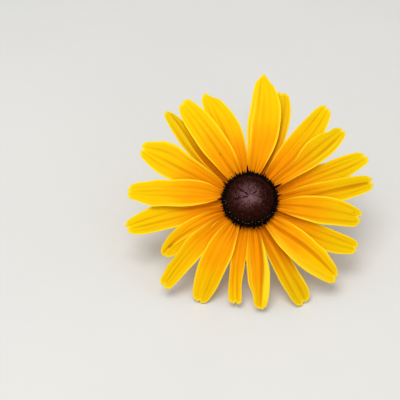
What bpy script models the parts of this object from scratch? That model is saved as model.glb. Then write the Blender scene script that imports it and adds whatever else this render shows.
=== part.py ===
"""Black eyed susan: one cut flower that lies on a surface, resting on its lowest petal tips and its stem.

Sizes are in millimetres and are turned into metres when a mesh is made. The flower head is drawn in
its own frame: the origin is the middle of the ring where the petals grow, +Z is the way that the
flower faces and +Y is the upper side of the face. An empty then tilts and lifts the whole head.
"""

from dataclasses import dataclass
from math import cos, radians, sin

import bpy
import numpy as np
from mathutils import Matrix

MM = 0.001
SMOOTH_ANGLE_DEG = 35.0

# The head's pose on the surface
HEAD_TILT_DEG = 38.0
STEM_END_BEHIND_HEAD = 92.0

# Petals
PETAL_ROOT_RADIUS = 7.4
PETAL_THICKNESS = 0.62
PETAL_CELLS_ALONG = 9
PETAL_CELLS_ACROSS = 6
ROOT_WIDTH_SHARE = 0.25
LAYER_REACH = 3.2
PETAL_ARCH = 1.1
TIP_CORNER = 1.1
POINT_POWER = 1.3
LEAST_HALF_WIDTH = 0.5
NOTCH_HALF_WIDTH = 0.24
LEAST_LEVEL = 0.6
COLLAR_INNER_RADIUS = 6.2
COLLAR_OUTER_RADIUS = 9.0
COLLAR_HALF_HEIGHT = 0.45
COLLAR_SIDES = 42

# Cone of closed florets
CONE_RADIUS = 8.35
CONE_FOOT = 1.75
CONE_TOP = 8.9
CONE_FLORETS_PER_RING = 21
CONE_RINGS = 13
CONE_LAST_RING = 0.94
CONE_RELIEF = 0.62
CONE_SMOOTH_RADIUS = 3.8

# Ring of open florets
RING_INNER_RADIUS = 8.66
RING_OUTER_RADIUS = 10.0
RING_BOTTOM = 1.75
RING_TOP = 4.3
RING_FLORETS = 34
SPIKE_LENGTH = 1.15
SPIKE_WIDTH = 0.85
SPIKE_SUNK = 0.7
SPIKE_UNEVENNESS = 0.15

# Stem, receptacle and bracts
RECEPTACLE_TOP = -0.85
RECEPTACLE_RADIUS = 7.0
RECEPTACLE_DEPTH = 7.5
RECEPTACLE_SIDES = 32
STEM_TOP_RADIUS = 2.0
STEM_END_RADIUS = 1.55
STEM_START_DEPTH = 6.0
STEM_INSIDE_RECEPTACLE = 2.0
STEM_SIDE_BEND = 9.0
STEM_EASE = 1.35
STEM_SIDES = 12
STEM_RINGS = 26
BRACT_THICKNESS = 0.62
BRACT_ROOT_RADIUS = 4.6
BRACT_CUP = 0.35
BRACT_CELLS_ALONG = 6
BRACT_CELLS_ACROSS = 4


@dataclass(frozen=True)
class Petal:
    """One ray petal, in millimetres and in degrees counter-clockwise about the flower's axis.

    Its middle line passes through the root, the middle and the tip angle. The layer is the height of
    its surface between its neighbours'. The fold is the depth of its trough (below zero, of its
    ridge), which runs along the crease, from -1 at its right edge to 1 at its left. The notch, the
    point and the skew cut the end back, and the overrun is how far past the tip its sides would meet.
    The tilt is how much higher the left edge is than the middle. The trims are rows of share along and
    millimetres by which an edge stands out.
    """

    root_deg: float
    middle_deg: float
    tip_deg: float
    reach: float
    width: float
    layer: float
    droop: float = 2.4
    fold: float = 0.25
    crease: float = 0.0
    pleat: float = 0.1
    wave: float = 0.25
    notch: float = 0.9
    point: float = 0.5
    skew: float = 0.3
    widest: float = 0.55
    overrun: float = 0.08
    tilt: float = 0.0
    right_trim: tuple = ()
    left_trim: tuple = ()


PETALS = (
    Petal(
        86.0, 78.9, 82.9, 47.7, 11.9, 1.3,
        droop=1.4, fold=-0.5, notch=0.0, point=3.0, skew=-0.9,
        right_trim=((0.6, 0.0), (0.7, -0.2), (0.8, -0.7), (0.9, -1.3)),
        left_trim=((0.5, 0.0), (0.68, -0.4), (0.9, -0.5)),
    ),
    Petal(
        74.5, 70.8, 73.2, 43.3, 10.0, -1.0,
        notch=0.9, skew=0.0, fold=0.1,
        right_trim=((0.5, 0.0), (0.7, 0.25), (0.9, 0.2)),
    ),
    Petal(
        48.5, 48.8, 50.8, 45.6, 10.3, 0.1,
        droop=1.8, fold=0.3, notch=0.8, skew=-0.3, tilt=0.5,
        left_trim=((0.3, -0.1), (0.5, -0.7), (0.7, -0.85), (0.8, -1.0), (0.9, -0.6)),
    ),
    Petal(
        33.5, 36.4, 37.5, 43.5, 9.0, 1.3,
        skew=0.5, widest=0.72, tilt=0.1,
        right_trim=((0.7, 0.0), (0.9, -0.8)),
        left_trim=(
            (0.0, 0.0), (0.1, -0.6), (0.3, -1.8), (0.4, -1.6), (0.5, -0.5),
            (0.6, 0.0), (0.78, -0.2), (0.85, -1.3), (0.92, -1.0),
        ),
    ),
    Petal(
        20.5, 20.4, 22.5, 46.2, 8.1, -1.0,
        fold=0.2, notch=1.1, skew=0.7,
        right_trim=((0.5, 0.2), (0.7, 0.8), (0.9, 0.9)),
        left_trim=((0.5, -0.3), (0.6, -0.6), (0.7, -0.4), (0.9, -0.3)),
    ),
    Petal(
        2.5, 6.8, 9.7, 45.4, 8.2, 0.1,
        fold=0.4, notch=1.2, skew=0.0, widest=0.6, tilt=0.5,
        right_trim=((0.5, 0.1), (0.7, 0.4), (0.9, 0.3)),
        left_trim=((0.2, -0.3), (0.5, -0.4), (0.62, -0.65), (0.8, -0.4), (0.9, 0.0)),
    ),
    Petal(
        -11.0, -7.5, -8.6, 40.6, 10.3, 1.2,
        fold=-0.3, notch=1.9, skew=-0.2,
        right_trim=((0.7, 0.0), (0.9, 0.4)),
        left_trim=((0.0, 0.0), (0.1, -0.8), (0.4, -0.65), (0.6, -0.1)),
    ),
    Petal(
        -27.8, -26.9, -23.1, 42.2, 8.4, -1.0,
        fold=0.2, notch=1.2, skew=-0.4, widest=0.6,
        right_trim=((0.6, 0.5), (0.9, 0.2)),
        left_trim=((0.05, 0.7), (0.3, 0.5), (0.42, -0.5), (0.6, -0.75), (0.8, -0.4), (0.9, -0.1)),
    ),
    Petal(
        -42.5, -42.5, -42.2, 41.4, 11.1, 1.3,
        fold=-0.2, wave=0.5, notch=1.2, skew=0.7,
        right_trim=((0.1, 0.9), (0.2, 0.8), (0.4, 0.4), (0.6, 0.4), (0.8, 0.0)),
        left_trim=(
            (0.0, 0.0), (0.1, -0.6), (0.3, -0.55), (0.45, -0.9),
            (0.6, -1.1), (0.7, -0.6), (0.8, -0.9), (0.9, -0.7),
        ),
    ),
    Petal(
        -65.0, -63.2, -61.8, 41.2, 8.3, -0.3,
        droop=4.55, fold=0.9, crease=0.2, notch=1.1, widest=0.66, tilt=-0.2,
        right_trim=((0.4, 0.0), (0.6, -0.4), (0.8, -0.1), (0.9, 0.3)),
        left_trim=((0.5, -0.4), (0.7, -0.4), (0.8, 0.0), (0.87, 0.5)),
    ),
    Petal(
        -83.5, -83.6, -84.8, 38.7, 7.9, 0.1,
        droop=0.9, fold=0.6, crease=0.1, notch=0.5, skew=-0.3,
        right_trim=((0.7, 0.0), (0.8, -0.7), (0.87, -0.6), (0.93, 0.0)),
        left_trim=((0.3, -0.2), (0.45, -0.35), (0.6, 0.0)),
    ),
    Petal(
        -102.0, -101.4, -97.8, 36.9, 5.5, -0.2,
        droop=1.8, fold=0.5, point=0.2, skew=-0.4, widest=0.42, overrun=0.3,
        right_trim=((0.4, -0.5), (0.6, -0.3), (0.7, 0.0), (0.9, 0.4)),
        left_trim=((0.05, 0.5), (0.4, 0.4), (0.5, 0.0), (0.7, -0.45), (0.8, -0.4), (0.9, -0.1)),
    ),
    Petal(
        -123.0, -120.6, -116.6, 40.1, 10.2, 1.2,
        droop=6.55, fold=-0.3, notch=0.9, skew=-0.3, widest=0.5,
        right_trim=((0.1, -0.1), (0.3, -0.4), (0.7, -0.3), (0.85, 0.0)),
        left_trim=((0.7, 0.0), (0.85, 0.2)),
    ),
    Petal(
        -143.0, -139.5, -135.3, 43.4, 7.8, 0.4,
        droop=3.0, fold=0.5, notch=1.1, skew=-0.3, tilt=-0.4,
        right_trim=((0.5, 0.0), (0.6, -0.6), (0.7, -0.8), (0.8, -0.25), (0.88, -0.4), (0.95, 0.0)),
        left_trim=((0.7, 0.0), (0.8, 0.25), (0.9, 0.5)),
    ),
    Petal(
        -155.5, -154.2, -146.7, 36.2, 8.0, -0.1,
        fold=0.2, wave=0.6, notch=0.8, skew=0.5, tilt=-0.4,
        right_trim=(
            (0.0, 0.0), (0.1, -1.2), (0.3, -1.0), (0.5, -0.9),
            (0.62, -0.4), (0.75, 0.0), (0.9, 0.25),
        ),
    ),
    Petal(
        -170.5, -170.5, -168.1, 45.2, 9.8, -1.3,
        droop=2.8, notch=1.1, widest=0.6, fold=0.1,
        right_trim=((0.6, 0.0), (0.75, -0.35), (0.9, -0.3)),
    ),
    Petal(
        168.5, 173.2, 175.5, 43.8, 10.1, 1.1,
        fold=-0.3, notch=0.6, skew=-0.2, widest=0.5,
        right_trim=(
            (0.0, 0.0), (0.08, -0.5), (0.2, 0.2), (0.4, -0.15), (0.5, -0.5),
            (0.58, -1.0), (0.7, -0.4), (0.8, -0.4), (0.9, 0.0),
        ),
        left_trim=(
            (0.0, 0.0), (0.08, -0.8), (0.2, 0.0), (0.5, 0.4),
            (0.65, 0.5), (0.75, 0.9), (0.8, 0.6), (0.9, 0.15),
        ),
    ),
    Petal(
        157.5, 153.8, 153.3, 44.0, 11.6, 0.1,
        notch=1.5, skew=0.5, widest=0.64, tilt=-0.4,
        right_trim=(
            (0.1, -0.3), (0.3, -0.6), (0.5, -0.75), (0.57, -0.2),
            (0.66, 0.8), (0.8, 0.95), (0.87, 0.2), (0.92, -0.2),
        ),
        left_trim=((0.55, 0.0), (0.7, -0.2), (0.8, -0.5), (0.9, -1.0)),
    ),
    Petal(
        138.0, 133.5, 131.2, 45.5, 8.0, -1.1,
        fold=-0.7, crease=0.25, notch=0.0, point=0.9, skew=-0.5,
        right_trim=((0.6, 0.0), (0.8, -0.9), (0.95, -1.3)),
        left_trim=((0.6, 0.0), (0.75, -0.4), (0.9, -0.5)),
    ),
    Petal(
        119.5, 121.9, 123.7, 44.2, 10.2, 1.2,
        notch=1.0, skew=0.6,
        right_trim=((0.1, 1.0), (0.2, 0.6), (0.3, 0.3), (0.5, 0.0), (0.8, 0.2), (0.9, 0.35)),
        left_trim=((0.1, 0.65), (0.3, 0.35), (0.5, 0.0), (0.7, -0.25), (0.9, -0.4)),
    ),
    Petal(
        107.0, 106.4, 111.0, 43.6, 10.2, -0.5,
        droop=1.8, notch=0.0, point=2.2, skew=-1.4,
        right_trim=((0.5, 0.0), (0.7, -0.3), (0.85, -0.7), (0.93, -1.5)),
    ),
)


@dataclass(frozen=True)
class BractRow:
    """One whorl of green bracts under the petals."""

    count: int
    first_deg: float
    length: float
    width: float
    root_height: float
    slope_deg: float
    curl: float


BRACT_ROWS = (
    BractRow(count=9, first_deg=8.0, length=12.5, width=4.2, root_height=-2.6, slope_deg=9.0, curl=1.2),
    BractRow(count=9, first_deg=28.0, length=17.5, width=4.8, root_height=-3.6, slope_deg=20.0, curl=2.6),
)


@dataclass(frozen=True)
class FloretRow:
    """One row of pointed floret tips on the dark ring."""

    radius: float
    height: float
    rise: float
    shift: float


FLORET_ROWS = (
    FloretRow(radius=RING_OUTER_RADIUS - 0.25, height=RING_BOTTOM + 0.75, rise=0.25, shift=0.0),
    FloretRow(radius=RING_OUTER_RADIUS - 0.7, height=RING_TOP - 1.0, rise=1.0, shift=0.5),
)


@dataclass(frozen=True)
class Finish:
    """One material: its name, base colour and roughness."""

    name: str
    color: tuple
    roughness: float


PETAL_YELLOW = Finish("petal_yellow", (0.95, 0.46, 0.004), 0.55)
CONE_BROWN = Finish("cone_brown", (0.085, 0.026, 0.022), 0.85)
FLORET_BLACK = Finish("floret_black", (0.012, 0.006, 0.005), 0.7)
STEM_GREEN = Finish("stem_green", (0.12, 0.23, 0.045), 0.65)


def clear_scene():
    for obj in list(bpy.data.objects):
        bpy.data.objects.remove(obj)


def make_material(finish):
    """A Principled material with the finish's colour and roughness."""
    material = bpy.data.materials.new(finish.name)
    material.use_nodes = True
    shader = material.node_tree.nodes["Principled BSDF"]
    shader.inputs["Base Color"].default_value = (*finish.color, 1.0)
    shader.inputs["Roughness"].default_value = finish.roughness
    shader.inputs["Metallic"].default_value = 0.0
    return material


def add_object(name, points, faces, collection=None):
    """A mesh object from points in millimetres, in the scene or in a collection of loose pieces."""
    mesh = bpy.data.meshes.new(name)
    mesh.from_pydata((np.asarray(points) * MM).tolist(), [], [tuple(map(int, face)) for face in faces])
    mesh.update()
    obj = bpy.data.objects.new(name, mesh)
    (collection or bpy.context.scene.collection).objects.link(obj)
    return obj


def polar(radius, degrees):
    """The point at this radius and angle in the petals' plane."""
    return np.array([radius * cos(radians(degrees)), radius * sin(radians(degrees))])


def smooth_rise(share):
    """0 to 1, level at both ends."""
    share = np.clip(share, 0.0, 1.0)
    return share * share * (3.0 - 2.0 * share)


def unit_rows(vectors):
    """The vectors, each made one long."""
    return vectors / np.linalg.norm(vectors, axis=-1, keepdims=True)


def split_quads(rows, columns):
    """Two triangles for each cell of a grid of points, with every diagonal the same way."""
    index = np.arange(rows * columns).reshape(rows, columns)
    a, b = index[:-1, :-1].ravel(), index[1:, :-1].ravel()
    c, d = index[1:, 1:].ravel(), index[:-1, 1:].ravel()
    return np.concatenate([np.stack([a, b, c], 1), np.stack([a, c, d], 1)])


def closed_blade(top, thickness):
    """Points and triangles of a blade: its upper face, the same face lower down, and a rim.

    The lower face is let down by more where the blade is steep, so that the blade is no thinner there.
    """
    rows, columns = top.shape[:2]
    normal = unit_rows(np.cross(np.gradient(top, axis=0), np.gradient(top, axis=1)))
    bottom = top.copy()
    bottom[..., 2] -= thickness / np.clip(np.abs(normal[..., 2]), LEAST_LEVEL, 1.0)
    count = rows * columns
    cells = split_quads(rows, columns)
    index = np.arange(count).reshape(rows, columns)
    rim = np.concatenate([index[:-1, 0], index[-1, :-1], index[:0:-1, -1], index[0, :0:-1]])
    after = np.roll(rim, -1)
    sides = np.concatenate(
        [np.stack([rim, rim + count, after], 1), np.stack([after, rim + count, after + count], 1)]
    )
    faces = np.concatenate([cells, cells[:, ::-1] + count, sides])
    return np.concatenate([top.reshape(-1, 3), bottom.reshape(-1, 3)]), faces


def petal_width(petal, share):
    """The petal's width at this share of its length, as a share of its greatest width."""
    rise = np.sin(0.5 * np.pi * np.clip(share / petal.widest, 0.0, 1.0))
    past = np.clip(share - petal.widest, 0.0, None) / (1.0 + petal.overrun - petal.widest)
    fall = (1.0 - past**2.2) ** 0.75
    return np.where(share < petal.widest, ROOT_WIDTH_SHARE + (1.0 - ROOT_WIDTH_SHARE) * rise, fall)


def trim(rows, share, side):
    """How far an edge stands out at each share, read between the rows of the trim, on its own side only."""
    if not rows:
        return np.zeros(share.shape)
    at, out = np.array(rows).T
    return np.where(side, np.interp(share, at, out), 0.0)


def petal_surface(petal, rows, columns):
    """The petal's upper face as a grid of points, from root to tip and from edge to edge."""
    root = polar(PETAL_ROOT_RADIUS, petal.root_deg)
    middle = polar(0.5 * (PETAL_ROOT_RADIUS + petal.reach), petal.middle_deg)
    tip = polar(petal.reach, petal.tip_deg)
    control = 2.0 * middle - 0.5 * (root + tip)
    length = np.linalg.norm(tip - root)

    share, across = np.meshgrid(np.linspace(0.0, 1.0, rows), np.linspace(-1.0, 1.0, columns), indexing="ij")
    cut = petal.notch * np.exp(-((across / NOTCH_HALF_WIDTH) ** 2))
    cut += petal.point * np.abs(across) ** POINT_POWER
    cut += TIP_CORNER * across**4 + petal.skew * across
    share = share * (1.0 - cut / length)
    s = share[..., None]
    centre = (1 - s) ** 2 * root + 2 * s * (1 - s) * control + s**2 * tip
    heading = unit_rows((1 - s) * (control - root) + s * (tip - control))
    left = np.stack([-heading[..., 1], heading[..., 0]], axis=2)
    half_width = 0.5 * petal.width * petal_width(petal, share)
    half_width += trim(petal.right_trim, share, across < 0.0) + trim(petal.left_trim, share, across > 0.0)
    half_width = np.maximum(half_width, LEAST_HALF_WIDTH)
    plane = centre + left * (half_width * across)[..., None]

    out = (np.linalg.norm(centre, axis=2) - PETAL_ROOT_RADIUS) / LAYER_REACH
    height = petal.layer * (1.0 - np.exp(-out))
    height += PETAL_ARCH * np.sin(np.pi * share) - petal.droop * share**2.4
    spread = smooth_rise(share / 0.35)
    height += spread * petal.fold * (np.abs(across - petal.crease) ** 1.6 - 0.35)
    height += spread * (petal.tilt * across + petal.pleat * np.cos(3.0 * np.pi * across))
    phase = petal.root_deg * 0.13
    height += spread * petal.wave * across * np.abs(across) * np.sin(9.0 * share + phase + across)
    return np.dstack([plane, height + 0.5 * PETAL_THICKNESS])


def petal_blade(petal):
    """Points and triangles of the whole petal."""
    return closed_blade(petal_surface(petal, PETAL_CELLS_ALONG + 1, PETAL_CELLS_ACROSS + 1), PETAL_THICKNESS)


def bract_surface(row, degrees):
    """The upper face of a bract, a lance-shaped leaf that curves down and away under the petals."""
    along = np.linspace(0.0, 1.0, BRACT_CELLS_ALONG + 1)
    sideways = np.linspace(-1.0, 1.0, BRACT_CELLS_ACROSS + 1)
    share, across = np.meshgrid(along, sideways, indexing="ij")
    half_width = 0.5 * row.width * np.sqrt(np.clip(0.62 + 1.5 * share - 2.05 * share**2, 0.02, 1.0))
    outward = polar(1.0, degrees)
    left = np.array([-outward[1], outward[0]])
    run = BRACT_ROOT_RADIUS + row.length * cos(radians(row.slope_deg)) * share
    drop = row.length * sin(radians(row.slope_deg)) * share + row.curl * share**2
    plane = outward * run[..., None] + left * (half_width * across)[..., None]
    return np.dstack([plane, row.root_height - drop + BRACT_CUP * across**2])


def turned(profile, sides):
    """Points of a profile of (radius, height) pairs turned about +Z, one ring for each pair."""
    angles = 2.0 * np.pi * np.arange(sides) / sides
    rings = [np.column_stack([r * np.cos(angles), r * np.sin(angles), np.full(sides, z)]) for r, z in profile]
    return np.concatenate(rings)


def ring_faces(count, sides, closed_loop):
    """Faces between rings of points. A closed loop also joins the last ring to the first."""
    faces = []
    for ring in range(count if closed_loop else count - 1):
        above = (ring + 1) % count
        for side in range(sides):
            after = (side + 1) % sides
            faces.append((ring * sides + side, ring * sides + after, above * sides + after, above * sides + side))
    return faces


def capped_faces(count, sides):
    """Faces of a stack of rings whose first and last rings are filled flat."""
    faces = ring_faces(count, sides, False)
    faces.append(tuple(reversed(range(sides))))
    faces.append(tuple((count - 1) * sides + side for side in range(sides)))
    return faces


def new_extras(name):
    """A collection for loose pieces that are about to be joined."""
    extras = bpy.data.collections.new(name)
    bpy.context.scene.collection.children.link(extras)
    return extras


def united(base, extras):
    """Joins every object of the extras collection onto the base, then removes them."""
    modifier = base.modifiers.new("join", "BOOLEAN")
    modifier.operation = "UNION"
    modifier.operand_type = "COLLECTION"
    modifier.collection = extras
    modifier.solver = "EXACT"
    bpy.context.view_layer.update()
    graph = bpy.context.evaluated_depsgraph_get()
    joined = bpy.data.meshes.new_from_object(base.evaluated_get(graph))
    base.modifiers.clear()
    base.data = joined
    for obj in list(extras.objects):
        bpy.data.objects.remove(obj)
    bpy.data.collections.remove(extras)
    return base


def make_petals():
    """All ray petals, fused at their roots by the thin collar that they grow from."""
    profile = (
        (COLLAR_INNER_RADIUS, -COLLAR_HALF_HEIGHT),
        (COLLAR_OUTER_RADIUS, -COLLAR_HALF_HEIGHT),
        (COLLAR_OUTER_RADIUS, COLLAR_HALF_HEIGHT),
        (COLLAR_INNER_RADIUS, COLLAR_HALF_HEIGHT),
    )
    faces = ring_faces(len(profile), COLLAR_SIDES, True)
    collar = add_object("ray_petals", turned(profile, COLLAR_SIDES), faces)
    extras = new_extras("loose_petals")
    for number, petal in enumerate(PETALS):
        points, faces = petal_blade(petal)
        add_object(f"loose_petal_{number}", points, faces, extras)
    return united(collar, extras)


def cone_profile(share):
    """Radius and height of the cone from its foot, at 0, to its top, at 1, and the outward direction."""
    angle = 0.5 * np.pi * share
    height = CONE_TOP - CONE_FOOT
    radius = CONE_RADIUS * np.cos(angle) ** 0.82
    level = CONE_FOOT + height * np.sin(angle) ** 1.12
    return radius, level, unit_rows(np.array([np.cos(angle) / CONE_RADIUS, np.sin(angle) / height]))


def make_cone():
    """The dome of closed florets: every other point is sunk, so the florets run in spirals."""
    sides = 2 * CONE_FLORETS_PER_RING
    angles = 2.0 * np.pi * np.arange(sides) / sides
    points = []
    for ring in range(CONE_RINGS):
        radius, level, outward = cone_profile(CONE_LAST_RING * ring / (CONE_RINGS - 1))
        relief = CONE_RELIEF * min(1.0, radius / CONE_SMOOTH_RADIUS) if ring else 0.0
        sunk = np.where((np.arange(sides) + ring) % 2 == 0, 0.0, relief)
        reach = radius - sunk * outward[0]
        height = level - sunk * outward[1]
        points.append(np.column_stack([reach * np.cos(angles), reach * np.sin(angles), height]))
    points.append([[0.0, 0.0, CONE_TOP]])
    faces = [tuple(reversed(range(sides)))]
    for ring in range(CONE_RINGS - 1):
        for side in range(sides):
            a, b = ring * sides + side, ring * sides + (side + 1) % sides
            c, d = a + sides, b + sides
            low_first = (side + ring) % 2 == 1
            faces += [(a, b, d), (a, d, c)] if low_first else [(a, b, c), (b, d, c)]
    top = CONE_RINGS * sides
    last = top - sides
    faces += [(last + side, last + (side + 1) % sides, top) for side in range(sides)]
    return add_object("closed_floret_cone", np.concatenate(points), faces)


def spike(root, heading, length):
    """A four-sided floret tip whose foot is sunk below the root point."""
    side = unit_rows(np.cross(heading, (0.0, 0.0, 1.0)))
    lift = np.cross(side, heading)
    foot = root - SPIKE_SUNK * heading
    turns = ((-1, 0), (0, -1), (1, 0), (0, 1))
    corners = [foot + 0.5 * SPIKE_WIDTH * (u * side + v * lift) for u, v in turns]
    faces = [(0, 1, 4), (1, 2, 4), (2, 3, 4), (3, 0, 4), (3, 2, 1, 0)]
    return np.array([*corners, root + length * heading]), faces


def make_floret_ring():
    """The band of open florets around the foot of the cone, in rows of pointed tips."""
    profile = (
        (RING_INNER_RADIUS, RING_BOTTOM),
        (RING_OUTER_RADIUS - 0.2, RING_BOTTOM + 0.1),
        (RING_OUTER_RADIUS, RING_BOTTOM + 1.0),
        (RING_INNER_RADIUS + 0.35, RING_TOP),
        (RING_INNER_RADIUS, RING_TOP - 0.35),
    )
    sides = 2 * RING_FLORETS
    band = add_object("dark_floret_ring", turned(profile, sides), ring_faces(len(profile), sides, True))
    extras = new_extras("loose_florets")
    for row_number, row in enumerate(FLORET_ROWS):
        for number in range(RING_FLORETS):
            outward = polar(1.0, 360.0 * (number + row.shift) / RING_FLORETS)
            root = np.array([*(row.radius * outward), row.height])
            length = SPIKE_LENGTH * (1.0 + SPIKE_UNEVENNESS * sin(7.0 * number))
            points, faces = spike(root, unit_rows(np.array([*outward, row.rise])), length)
            add_object(f"loose_floret_{row_number}_{number}", points, faces, extras)
    return united(band, extras)


def head_rotation():
    """The rotation from the head's own frame to the world."""
    return np.array(Matrix.Rotation(radians(HEAD_TILT_DEG), 3, "X"))


def head_height():
    """How high the petals' ring stands when the lowest petal tips touch the surface."""
    turn = head_rotation()
    return -min(float((petal_blade(petal)[0] @ turn.T)[:, 2].min()) for petal in PETALS)


def running_sum(values, step):
    """The area under the values from the first one on, by the trapezium rule."""
    return np.concatenate([[0.0], np.cumsum(0.5 * (values[1:] + values[:-1]))]) * step


def stem_path(height):
    """Centre points and radii of the stem, in the world with the head's middle above the origin.

    It leaves the head along the flower's axis. Its slope then eases to level, over just the length
    that brings its underside down to the surface, and it runs on along the surface to its cut end.
    """
    tilt = radians(HEAD_TILT_DEG)
    start_behind = STEM_START_DEPTH * sin(tilt)
    start_height = height - STEM_START_DEPTH * cos(tilt)
    share = np.linspace(0.0, 1.0, 201)
    slope = radians(90.0 - HEAD_TILT_DEG) * (1.0 - share) ** STEM_EASE
    fall = running_sum(np.sin(slope), share[1])
    run = running_sum(np.cos(slope), share[1])
    bend = (start_height - STEM_END_RADIUS) / fall[-1]
    level = STEM_END_BEHIND_HEAD - start_behind - bend * run[-1]
    travelled = np.linspace(-STEM_INSIDE_RECEPTACLE, bend + level, STEM_RINGS)
    before, beyond = np.clip(travelled, None, 0.0), np.clip(travelled - bend, 0.0, None)
    behind = start_behind + before * sin(tilt) + bend * np.interp(travelled / bend, share, run) + beyond
    up = start_height - before * cos(tilt) - bend * np.interp(travelled / bend, share, fall)
    done = np.clip(travelled / (bend + level), 0.0, 1.0)
    radius = STEM_TOP_RADIUS + (STEM_END_RADIUS - STEM_TOP_RADIUS) * smooth_rise(done * 1.6)
    return np.column_stack([STEM_SIDE_BEND * done**1.5, behind, up]), radius


def stem_tube(height):
    """Rings of points around the stem's path, in the head's own frame."""
    centres, radii = stem_path(height)
    centres = (centres - (0.0, 0.0, height)) @ head_rotation()
    heading = unit_rows(np.gradient(centres, axis=0))
    across = np.tile((1.0, 0.0, 0.0), (len(centres), 1))
    side = unit_rows(across - heading * (across * heading).sum(axis=1, keepdims=True))
    lift = np.cross(heading, side)
    angles = 2.0 * np.pi * np.arange(STEM_SIDES) / STEM_SIDES
    spokes = np.cos(angles)[:, None] * side[:, None] + np.sin(angles)[:, None] * lift[:, None]
    return (centres[:, None] + radii[:, None, None] * spokes).reshape(-1, 3)


def make_stem(height):
    """Receptacle, bracts and stem, fused as one green growth."""
    stem = add_object("stem_and_bracts", stem_tube(height), capped_faces(STEM_RINGS, STEM_SIDES))
    extras = new_extras("loose_green")
    profile = (
        (STEM_TOP_RADIUS + 0.15, RECEPTACLE_TOP - RECEPTACLE_DEPTH),
        (0.5 * RECEPTACLE_RADIUS, RECEPTACLE_TOP - 0.74 * RECEPTACLE_DEPTH),
        (0.86 * RECEPTACLE_RADIUS, RECEPTACLE_TOP - 0.42 * RECEPTACLE_DEPTH),
        (RECEPTACLE_RADIUS, RECEPTACLE_TOP - 0.7),
        (RECEPTACLE_RADIUS - 0.6, RECEPTACLE_TOP),
    )
    faces = capped_faces(len(profile), RECEPTACLE_SIDES)
    add_object("loose_receptacle", turned(profile, RECEPTACLE_SIDES), faces, extras)
    for row_number, row in enumerate(BRACT_ROWS):
        for number in range(row.count):
            top = bract_surface(row, row.first_deg + 360.0 * number / row.count)
            points, faces = closed_blade(top, BRACT_THICKNESS)
            add_object(f"loose_bract_{row_number}_{number}", points, faces, extras)
    return united(stem, extras)


def seat(head, pieces):
    """Moves the head so that the middle of the object's box, at the surface, is the world's origin."""
    bpy.context.view_layer.update()
    corners = np.array([piece.matrix_world @ vertex.co for piece in pieces for vertex in piece.data.vertices])
    middle = 0.5 * (corners.min(axis=0) + corners.max(axis=0))
    head.location.x -= middle[0]
    head.location.y -= middle[1]
    head.location.z -= corners[:, 2].min()


def main():
    clear_scene()
    height = head_height()
    pieces = {
        make_petals(): PETAL_YELLOW,
        make_cone(): CONE_BROWN,
        make_floret_ring(): FLORET_BLACK,
        make_stem(height): STEM_GREEN,
    }
    head = bpy.data.objects.new("flower_head", None)
    bpy.context.scene.collection.objects.link(head)
    head.rotation_euler = (radians(HEAD_TILT_DEG), 0.0, 0.0)
    head.location = (0.0, 0.0, height * MM)
    for piece, finish in pieces.items():
        piece.parent = head
        piece.data.materials.clear()
        piece.data.materials.append(make_material(finish))
        piece.data.shade_smooth()
        piece.data.set_sharp_from_angle(angle=radians(SMOOTH_ANGLE_DEG))
    seat(head, list(pieces))


main()
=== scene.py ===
"""Black eyed susan, one cut flower: fine petals, cone, florets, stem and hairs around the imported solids.

Shapes are worked out in millimetres in the flower head's own frame: the origin is the middle of the
ring where the petals grow, +Z is the way that the flower faces and +Y is the upper side of its face.
HeadFrame turns them into the world's metres.
"""

import logging
from dataclasses import dataclass
from enum import Enum
from math import cos, pi, radians, sin
from typing import Any

import bpy
import numpy as np
from mathutils import Matrix, Vector


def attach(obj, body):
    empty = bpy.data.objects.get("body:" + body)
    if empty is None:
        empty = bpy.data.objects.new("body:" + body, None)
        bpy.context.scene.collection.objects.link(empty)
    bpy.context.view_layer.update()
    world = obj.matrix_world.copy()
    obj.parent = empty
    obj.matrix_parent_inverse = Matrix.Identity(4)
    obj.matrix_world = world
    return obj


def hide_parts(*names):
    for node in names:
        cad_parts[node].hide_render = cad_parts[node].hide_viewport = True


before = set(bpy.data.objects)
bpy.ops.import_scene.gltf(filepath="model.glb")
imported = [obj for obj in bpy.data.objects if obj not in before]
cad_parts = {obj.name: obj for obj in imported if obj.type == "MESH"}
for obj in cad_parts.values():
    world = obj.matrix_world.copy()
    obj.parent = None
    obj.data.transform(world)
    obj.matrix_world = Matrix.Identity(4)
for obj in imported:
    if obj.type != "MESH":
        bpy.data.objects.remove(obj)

LOG = logging.getLogger("black_eyed_susan")
MM = 0.001
NO_TRIANGLES = np.zeros((0, 3), int)


class Slot(Enum):
    """The record's material slots."""

    PETAL = "petal_yellow"
    CONE = "cone_brown"
    FLORET = "floret_black"
    GREEN = "stem_green"


class Node(Enum):
    """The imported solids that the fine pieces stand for."""

    PETALS = "ray_petals"
    CONE = "closed_floret_cone"
    RING = "dark_floret_ring"
    GREEN = "stem_and_bracts"


# Shapes


@dataclass
class Shape:
    """Points in millimetres, faces as rows of point numbers, and named values that each point has."""

    points: np.ndarray
    quads: np.ndarray
    triangles: np.ndarray
    values: dict[str, np.ndarray]


def joined(shapes: list[Shape]) -> Shape:
    """One shape from several.

    Args:
        shapes: Shapes that all have the same named values.

    Returns:
        Their points one after another, with the faces' point numbers moved on to match.
    """
    starts = np.cumsum([0] + [len(shape.points) for shape in shapes[:-1]])
    return Shape(
        np.concatenate([shape.points for shape in shapes]),
        np.concatenate([shape.quads + start for shape, start in zip(shapes, starts)]),
        np.concatenate([shape.triangles + start for shape, start in zip(shapes, starts)]),
        {name: np.concatenate([shape.values[name] for shape in shapes]) for name in shapes[0].values},
    )


def unit_rows(vectors: np.ndarray) -> np.ndarray:
    """The vectors, each divided by its own length."""
    return vectors / np.linalg.norm(vectors, axis=-1, keepdims=True)


def smooth_rise(share: np.ndarray) -> np.ndarray:
    """0 to 1 and level at both ends: three times the square less twice the cube."""
    share = np.clip(share, 0.0, 1.0)
    return share * share * (3.0 - 2.0 * share)


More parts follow.
